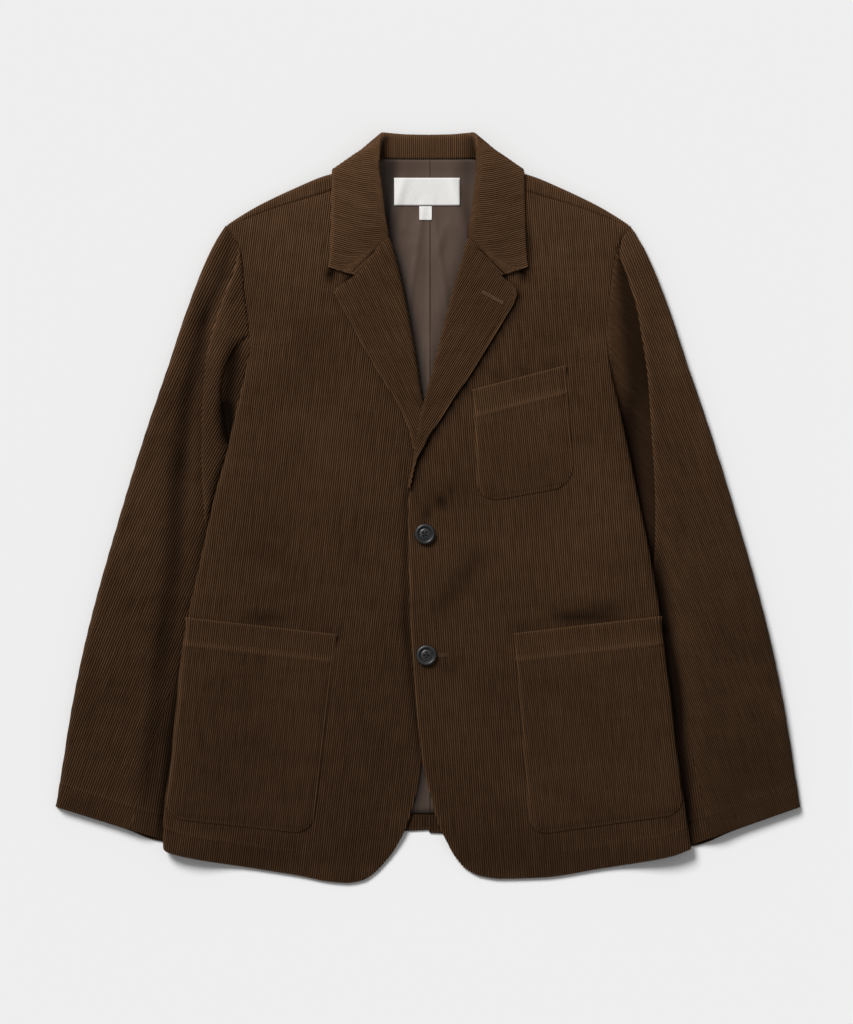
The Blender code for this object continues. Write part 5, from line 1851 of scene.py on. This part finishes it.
@dataclass
class Pockets:
    """Patch pockets, each raised off the face of its front."""

    body: Body
    stitch: float = 31.0
    stitch_ease: float = 1.0
    step: float = 0.4
    softness: float = 0.4
    area_share: float = 0.93
    reach: tuple = (-20.0, 262.0)
    mouth_rise: float = 1.1
    mouth: Ease = Ease(14.0, 0.0)
    wales: dict = by_side(Wales(lean=0.118, pitch=2.17), Wales(lean=0.115, pitch=2.15))
    # Painted highlight just inside the sewn edges and painted shade right on them
    edge_light_in: float = 1.9
    edge_light: float = 0.9
    edge_shade: float = 0.08
    edge_shade_width: float = 0.9
    press: float = 1.85
    press_width: float = 4.2
    hem_light: float = 0.18
    rows: Rows = Rows.graded(
        (0.0, 0.8, 2.4, 5.0, 8.0, 12.0, 17.0, 22.0),
        (0.0, 1.0, 2.4, 6.0, 14.0, 22.0, 28.0, 29.8, 31.0, 32.2, 35.0, 41.0),
        22,
    )

    def outline(self, pocket: PatchPocket) -> Outline:
        """Edges of a pocket."""

        def outer(y: Array) -> Array:
            """Outer edge: the side of the body or a straight line."""
            if pocket.to_side:
                return body_edge(pocket.side, y) - LAY.pocket_from_edge
            return out_curve((pocket.low_out, pocket.top_out))(y)

        return Outline(
            inner=out_curve((pocket.low_in, pocket.top_in)),
            outer=outer,
            low=self._line(pocket.low_in, pocket.low_out),
            high=self._line(pocket.top_in, pocket.top_out),
            corner=pocket.corner,
        )

    @staticmethod
    def _line(start: Spot, end: Spot) -> Curve:
        """Straight line as a function of the distance out, past its ends too."""
        slope = (end.y - start.y) / (end.out - start.out)
        return lambda out: start.y + (out - start.out) * slope

    def raised(self, side: Side, out: Array, y: Array, height: Array) -> Array:
        """Points raised off a front along its normals.

        Args:
            side: the front's side.
            out: distances out.
            y: heights along Y.
            height: how far each point is raised.

        Returns:
            Points of the side's half, in millimetres.
        """
        ground = front_top(side, out, y)
        slope_out = front_top(side, out + self.step, y) - front_top(side, out - self.step, y)
        slope_y = front_top(side, out, y + self.step) - front_top(side, out, y - self.step)
        normal = np.stack([-slope_out, -slope_y, np.full_like(out, 2.0 * self.step)], axis=-1)
        normal = normal / np.linalg.norm(normal, axis=-1, keepdims=True)
        return np.stack([out, y, ground], axis=-1) + normal * height[..., None]

    def build(self, name: str, pocket: PatchPocket, material: Material) -> Object:
        """Make one pocket."""
        side = pocket.side
        outline = self.outline(pocket)
        wales = self.wales[side]
        out, y, inner, outer, rise, fall = outline.lay(wales, self.rows, self.reach)
        drop, edge = soften([out - inner, outer - out, rise, fall])
        sewn = np.minimum.reduce([out - inner, outer - out, rise])
        height = LAY.patch_gap + LAY.pocket_cloth + self.mouth_rise * smoothstep(fall, self.mouth)
        pressed = self.press * bell(sewn, self.press_width) * smoothstep(fall, PRESS_BELOW_MOUTH)
        height = height - self.softness * drop - pressed + hem_crease(fall, self.stitch, -1.0)
        # Painted highlight on the hem's ridge and painted shade in its trough, a painted highlight inside the
        # sewn edges, a lighter band above the stitching and painted shade on the sewn edges
        light, hollow = hem_marks(fall, self.stitch, -1.0)
        at_edge = self.edge_light * bell(sewn - self.edge_light_in, CREASE_WIDTH)
        edge = np.maximum(at_edge, bell(fall, CREASE_WIDTH)) + light
        hem = Ease(self.stitch + self.stitch_ease, self.stitch - self.stitch_ease)
        edge = edge + self.hem_light * smoothstep(fall, hem)
        hollow = hollow + self.edge_shade * bell(sewn, self.edge_shade_width)
        wale = wales.wale_at(out, y)
        out, y, z = np.moveaxis(self.raised(side, out, y, height), -1, 0)
        fade = fade_at([out - inner, outer - out, rise, fall])
        cloth = Cloth(side, out, y, z, wale, edge, fade, hollow)
        return cloth_piece(f"corduroy_{name}", [cloth], material, thickness=LAY.pocket_cloth)


@dataclass
class Lining:
    """Back lining with a pleat down the middle."""

    columns: int = 60
    rows: int = 110
    centre: dict = by_side(2.2, -1.8)
    pleat_width: float = 2.2
    pleat_height: float = 0.6
    pleat_under: float = -0.3
    crowding: float = 1.5
    neck_rise: float = 2.6
    neck_fall: Ease = Ease(19.0, 4.0)
    # Painted shade beside the lapels, deep inside the fronts and beside the right front's edge
    lapel_shade: dict = by_side(0.45, 0.9)
    shade_width: float = 8.0
    low_shade: float = 0.5
    gap_shade: float = 1.0
    gap_shade_width: float = 9.0
    cut: Cut = Cut(0.27, 0.70, 0.14)

    def build(self, side: Side, material: Material) -> Object:
        """Make half of the lining."""
        centre = self.centre[side]
        across = np.linspace(0.0, 1.0, self.columns) ** self.crowding
        part, up = np.meshgrid(across, np.linspace(0.0, 1.0, self.rows))
        tip = LAY.shoulder_tip - LAY.lining_inset
        y = LAY.lining_hem_y + 0.0 * up
        for _ in range(SETTLE_ROUNDS):
            reach = np.minimum(body_edge(side, y) - LAY.lining_inset, tip)
            out = centre + part * (reach - centre)
            inset = LAY.lining_neck_inset + LAY.lining_inset * smoothstep(out, LINING_NECK_OUT)
            top_y = shoulder_line(out) - inset
            y = LAY.lining_hem_y + up * (top_y - LAY.lining_hem_y)
        at_neck = smoothstep(shoulder_line(out) - y, self.neck_fall)
        at_neck = at_neck * (1.0 - smoothstep(out, LINING_NECK_OUT))
        pleat = self.pleat_height * bell(out - centre, self.pleat_width) * (1.0 - at_neck)
        z = lining_top(side, out, y) + (pleat if side is Side.RIGHT else self.pleat_under * pleat)
        z = z + self.neck_rise * at_neck
        zero = np.zeros_like(out)
        # Painted shade beside the lapels, low down inside the fronts and in the gap beside the right front's
        # edge
        from_roll = out_curve(ROLL_LINE[side])(y) - out
        beside_lapel = self.lapel_shade[side] * bell(from_roll, self.shade_width)
        hollow = np.maximum(beside_lapel, self.low_shade * smoothstep(y, LINING_SHADE_DOWN))
        if side is Side.RIGHT:
            from_front = out_curve(FRONT_EDGE[side])(y) - out
            beside_front = bell(from_front, self.gap_shade_width) * smoothstep(y, LINING_SHADE_DOWN)
            hollow = np.maximum(hollow, self.gap_shade * beside_front)
        cloth = Cloth(side, out, y, z, zero, zero, zero, hollow)
        return cloth_piece(
            f"satin_lining_{side.word}", [cloth], material,
            thickness=LAY.lining_cloth,
        )


@dataclass
class Labels:
    """Plain woven neck label and the plain tab below it."""

    seat: float = 0.4
    cloth: float = 0.6
    curl: float = 0.5
    curl_power: int = 6
    label_middle: Spot = Spot(-1.0, 331.8)
    label_size: tuple = (69.0, 29.0)
    tab_middle: Spot = Spot(-2.6, 309.2)
    tab_size: tuple = (13.0, 14.5)
    cells: tuple = (36, 18)

    def build(self, node: str, middle: Spot, size: tuple, material: Material) -> Object:
        """Make a small woven piece that lies on the lining.

        Args:
            node: the node that it replaces.
            middle: its middle.
            size: its width and height.
            material: its finish.

        Returns:
            The piece.
        """
        across, up = np.meshgrid(np.linspace(-1.0, 1.0, self.cells[0]), np.linspace(-1.0, 1.0, self.cells[1]))
        out = middle.out + 0.5 * size[0] * across
        y = middle.y + 0.5 * size[1] * up
        lift = self.seat + self.cloth + self.curl * np.abs(across) ** self.curl_power * (1.0 - up * up)
        ground = np.maximum(lining_top(Side.LEFT, np.abs(out), y), lining_top(Side.RIGHT, np.abs(out), y))
        zero = np.zeros_like(out)
        cloth = Cloth(Side.LEFT, out, y, ground + lift, zero, zero, zero, zero)
        return cloth_piece(
            f"woven_{node}", [cloth], material,
            thickness=self.cloth,
        )


class Corner(NamedTuple):
    """A corner of a turned half section, in millimetres."""

    across: float
    up: float


@dataclass
class Buttons:
    """Four-hole buttons with a raised rim, each sewn on with crossed thread."""

    section: tuple = table(
        Corner, (0.0, 2.5), (4.6, 2.5), (5.5, 2.2), (6.2, 1.6), (6.8, 1.7), (7.3, 2.6), (7.9, 3.6),
        (8.7, 3.98), (9.5, 3.9), (10.2, 3.45), (10.65, 2.7), (10.8, 1.9), (10.4, 1.0), (9.6, 0.35),
        (8.4, 0.0), (0.0, 0.0),
    )
    steps: int = 56
    seat: float = 0.5
    holes: int = 4
    hole_radius: float = 1.0
    hole_ring: float = 2.35
    drill: float = 16.0
    turn: dict = field(default_factory=lambda: {"button_upper": 0.12, "button_lower": 0.7})
    bar_radius: float = 0.3
    thread_lift: float = 0.25
    sharp: float = 40.0
    drill_sides: int = 14

    def place(self, spot: Spot) -> Vector:
        """Middle of a button's underside, in metres."""
        ground = float(front_top(Side.LEFT, np.array(spot.out), np.array(spot.y)))
        return Vector((spot.out, spot.y, ground + self.seat)) * MM

    def _ring(self, index: int, turn: float) -> Vector:
        """Middle of a thread hole from the button's middle, in metres."""
        angle = turn + math.tau * (index + 0.5) / self.holes
        return Vector((math.cos(angle), math.sin(angle), 0.0)) * self.hole_ring * MM

    def button(self, name: str, spot: Spot, material: Material) -> Object:
        """Make one button: a turned disc with its holes drilled."""
        disc = bmesh.new()
        corners = [disc.verts.new((corner.across * MM, 0.0, corner.up * MM)) for corner in self.section]
        edges = [disc.edges.new(pair) for pair in zip(corners, corners[1:])]
        bmesh.ops.spin(
            disc, geom=corners + edges, axis=(0.0, 0.0, 1.0), cent=(0.0, 0.0, 0.0), angle=math.tau,
            steps=self.steps, use_merge=True,
        )
        bmesh.ops.remove_doubles(disc, verts=disc.verts, dist=MERGE)
        bmesh.ops.recalc_face_normals(disc, faces=disc.faces)
        bmesh.ops.translate(disc, verts=disc.verts, vec=self.place(spot))
        piece = object_of(f"resin_{name}", mesh_of(disc, f"resin_{name}"), material)
        drills = bmesh.new()
        for index in range(self.holes):
            middle = self.place(spot) + self._ring(index, self.turn[name])
            bmesh.ops.create_cone(
                drills, cap_ends=True, segments=self.drill_sides, radius1=self.hole_radius * MM,
                radius2=self.hole_radius * MM, depth=self.drill * MM, matrix=Matrix.Translation(middle),
            )
        cutter = linked("drills", mesh_of(drills, "drills"))
        hole = piece.modifiers.new("holes", "BOOLEAN")
        hole.operation = "DIFFERENCE"
        hole.object = cutter
        graph = bpy.context.evaluated_depsgraph_get()
        drilled = bpy.data.meshes.new_from_object(piece.evaluated_get(graph))
        piece.modifiers.clear()
        piece.data = drilled
        bpy.data.objects.remove(cutter)
        drilled.shade_smooth()
        drilled.set_sharp_from_angle(angle=math.radians(self.sharp))
        settle(piece, name)
        return piece

    def thread(self, name: str, spot: Spot, material: Material) -> Object:
        """Make the crossed thread bars between a button's holes."""
        bars = Seam(f"thread_{name}", self.bar_radius, self.bar_radius, [])
        floor_up = Vector((0.0, 0.0, (self.section[0].up + self.thread_lift) * MM))
        for index in range(self.holes // 2):
            first = self.place(spot) + self._ring(index, self.turn[name]) + floor_up
            second = self.place(spot) + self._ring(index + self.holes // 2, self.turn[name]) + floor_up
            bars.stitches.append((first, second))
            floor_up = floor_up + Vector((0.0, 0.0, self.bar_radius * MM))
        return bars.build(material)


@dataclass
class Seam:
    """A run of stitches, each a small spindle of thread between two points in metres."""

    name: str
    half_width: float
    half_height: float
    stitches: list
    overlap: float = 0.3
    around: int = 8
    rings: int = 5

    def build(self, material: Material) -> Object:
        """Make all its stitches as one mesh."""
        work = bmesh.new()
        for start, end in self.stitches:
            along = end - start
            middle = 0.5 * (start + end)
            turn = along.to_track_quat("X", "Z").to_matrix().to_4x4()
            half_length = 0.5 * along.length + self.overlap * MM
            size = Matrix.Diagonal((half_length, self.half_width * MM, self.half_height * MM, 1.0))
            place = Matrix.Translation(middle) @ turn @ size
            bmesh.ops.create_uvsphere(
                work, u_segments=self.around, v_segments=self.rings, radius=1.0, matrix=place
            )
        mesh = mesh_of(work, self.name)
        mesh.shade_smooth()
        piece = object_of(self.name, mesh, material)
        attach(piece, "root")
        LOG.info("%s: %d stitches", self.name, len(self.stitches))
        return piece


@dataclass
class Sewing:
    """Stitching that shows: hems, pocket mouths and buttonholes."""

    body: Body
    sleeves: Sleeves
    pockets: Pockets
    pitch: float = 4.2
    length: float = 2.6
    half_width: float = 0.2
    half_height: float = 0.13
    bar_pitch: float = 0.85
    bar_half: float = 1.15
    slit_half: float = 0.35
    bar_size: tuple = (0.36, 0.3)
    hole_lift: float = 0.1
    hem_end: float = 262.0
    cuff_run: tuple = (290.0, 376.0)
    mouth_end: float = 236.0
    mouth_inset: tuple = (4.0, 3.0)
    mouth_lift: float = 0.05
    hole_reach: dict = field(
        default_factory=lambda: {"button_upper": (-6.0, 12.4), "button_lower": (-6.0, 21.5)}
    )
    lapel_hole: tuple = table(Spot, (57.4, 226.4), (78.6, 214.8))
    lapel_hole_lift: float = 0.3

    @staticmethod
    def surface(side: Side, height: Face, out: Array, y: Array, lift: float) -> list:
        """Points on a face, in metres.

        Args:
            side: the side that they are on.
            height: the face.
            out: distances out.
            y: heights along Y.
            lift: height over the face, in millimetres.

        Returns:
            A list of vectors.
        """
        z = height(side, out, y) + lift
        return [Vector((side.value * a, b, c)) * MM for a, b, c in zip(out, y, z)]

    def _seam(self, name: str, pairs: list, material: Material) -> Object:
        """Make a seam from the starts and the ends of its stitches."""
        return Seam(name, self.half_width, self.half_height, list(zip(*pairs))).build(material)

    def _run(self, first: float, last: float) -> tuple[Array, Array]:
        """Starts and ends of even stitches between two distances out."""
        start = np.arange(first, last - self.length, self.pitch)
        return start, start + self.length

    def hem(self, side: Side, material: Material) -> Object:
        """Stitches along the hem of a front."""
        low = y_curve(FRONT_HEM[side])
        stitch = self.body.hem_stitch
        pairs = []
        for out in self._run(HEM_SEWN_OUT.end, self.hem_end):
            pairs.append(self.surface(side, front_top, out, low(out) + stitch, -HEM_CREASE))
        return self._seam(f"hem_stitches_{side.word}", pairs, material)

    def cuff(self, side: Side, material: Material) -> Object:
        """Stitches along a cuff."""
        pairs = []
        for out in self._run(*self.cuff_run):
            y = self.sleeves.cuff_y(side)(out) + self.sleeves.cuff_stitch
            pairs.append(self.surface(side, sleeve_top, out, y, -HEM_CREASE))
        return self._seam(f"cuff_stitches_{side.word}", pairs, material)

    def mouth(self, name: str, material: Material) -> Object:
        """Stitches of a pocket's hem."""
        pocket = POCKETS[name]
        high = self.pockets.outline(pocket).high
        last = min(pocket.top_out.out, self.mouth_end)
        pairs = []
        for out in self._run(pocket.top_in.out + self.mouth_inset[0], last - self.mouth_inset[1]):
            y = high(out) - self.pockets.stitch
            height = np.full_like(out, LAY.patch_gap + LAY.pocket_cloth - HEM_CREASE + self.mouth_lift)
            points = self.pockets.raised(pocket.side, out, y, height) * MM
            points[:, 0] *= pocket.side.value
            pairs.append([Vector(point) for point in points])
        return self._seam(f"stitches_{name}", pairs, material)

    def buttonhole(self, name: str, start: Vector, end: Vector, material: Material) -> Object:
        """Make a worked buttonhole: close bars of thread on both sides of a slit.

        Args:
            name: the piece's name.
            start: one end of the slit, in metres.
            end: its other end.
            material: its finish.

        Returns:
            The piece.
        """
        along = end - start
        aside = along.cross(Vector((0.0, 0.0, 1.0))).normalized() * MM
        count = int(along.length / (self.bar_pitch * MM))
        bars = []
        for index in range(count + 1):
            middle = start + along * (index / count)
            for way in (-1.0, 1.0):
                near = middle + aside * self.slit_half * way
                bars.append((near, near + aside * self.bar_half * way))
        return Seam(name, *self.bar_size, bars).build(material)

    def buttonholes(self, material: Material, lapel_material: Material) -> None:
        """The holes beside the buttons and the one in the left lapel."""
        for name, spot in BUTTONS.items():
            out = spot.out + np.array(self.hole_reach[name])
            ends = self.surface(Side.LEFT, front_top, out, spot.y + 0.0 * out, self.hole_lift)
            self.buttonhole(f"buttonhole_{name}", *ends, material)
        out = np.array([spot.out for spot in self.lapel_hole])
        y = np.array([spot.y for spot in self.lapel_hole])
        ends = self.surface(Side.LEFT, front_top, out, y, LAY.patch_gap + LAY.cloth + self.lapel_hole_lift)
        self.buttonhole("buttonhole_lapel", *ends, lapel_material)


@dataclass
class Studio:
    """Pale floor, soft light from the upper left and a camera straight overhead."""

    floor_half: float = 4.0
    frame_height: float = 1.0752
    middle: tuple = (-0.001575, -0.0042)
    camera_height: float = 7.0
    sensor: float = 24.0
    sun_energy: float = 3.69
    sun_size: float = 24.0
    sun_tilt: float = 50.0
    sun_from: float = 125.0
    sun_height: float = 2.0
    sight: float = 50.0
    sky: float = 0.32

    def floor(self, material: Material) -> Object:
        """Make the surface that the jacket lies on."""
        work = bmesh.new()
        bmesh.ops.create_grid(work, x_segments=1, y_segments=1, size=self.floor_half)
        piece = object_of("floor", mesh_of(work, "floor"), material)
        return piece

    def light(self) -> None:
        """Put up a broad lamp and an even sky."""
        lamp = bpy.data.lights.new("soft_key", "SUN")
        lamp.energy = self.sun_energy
        lamp.angle = math.radians(self.sun_size)
        key = linked("soft_key", lamp)
        tilt = Matrix.Rotation(math.radians(self.sun_from - 90.0), 4, "Z") @ Matrix.Rotation(
            math.radians(-self.sun_tilt), 4, "X"
        )
        key.matrix_world = Matrix.Translation((0.0, 0.0, self.sun_height)) @ tilt
        world = bpy.data.worlds.new("even_sky")
        world.use_nodes = True
        sky = world.node_tree.nodes["Background"]
        sky.inputs["Color"].default_value = (1.0, 1.0, 1.0, 1.0)
        sky.inputs["Strength"].default_value = self.sky
        bpy.context.scene.world = world
        bpy.context.scene.view_settings.view_transform = "Standard"

    def camera(self) -> None:
        """Look straight down on the jacket."""
        lens = bpy.data.cameras.new("overhead")
        lens.sensor_fit = "VERTICAL"
        lens.sensor_height = self.sensor
        lens.lens = self.sensor * self.camera_height / self.frame_height
        lens.clip_end = self.sight
        seen = linked("overhead", lens)
        seen.location = (*self.middle, self.camera_height)
        bpy.context.scene.camera = seen


def main() -> None:
    """Build and dress the jacket, piece by piece."""
    corduroy = Corduroy().build()
    satin = Satin().build()
    tape = Tape().build()
    resin = Resin().build()
    sewing_thread = Thread("brown_thread", (0.118, 0.062, 0.032)).build()
    button_thread = Thread("dark_thread", (0.028, 0.027, 0.028)).build()
    studio = Studio()
    studio.camera()
    studio.light()
    studio.floor(Paper().build())
    body = Body()
    sleeves = Sleeves()
    lining = Lining()
    lapels = Lapels()
    for side in Side:
        body.back(side, corduroy)
        lining.build(side, satin)
        sleeves.under(side, corduroy)
        sleeves.top(side, corduroy)
        body.front(side, corduroy)
        lapels.build(side, corduroy)
    Collar().build(corduroy)
    pockets = Pockets(body)
    for name, pocket in POCKETS.items():
        pockets.build(name, pocket, corduroy)
    labels = Labels()
    labels.build("neck_label", labels.label_middle, labels.label_size, tape)
    labels.build("size_tab", labels.tab_middle, labels.tab_size, tape)
    buttons = Buttons()
    for name, spot in BUTTONS.items():
        buttons.button(name, spot, resin)
        buttons.thread(name, spot, button_thread)
    sewing = Sewing(body, sleeves, pockets)
    for side in Side:
        sewing.hem(side, sewing_thread)
        sewing.cuff(side, sewing_thread)
    for name in POCKETS:
        sewing.mouth(name, sewing_thread)
    sewing.buttonholes(sewing_thread, Thread("pale_brown_thread", (0.185, 0.105, 0.058)).build())


if __name__ == "__main__":
    logging.basicConfig(level=logging.INFO)
    main()
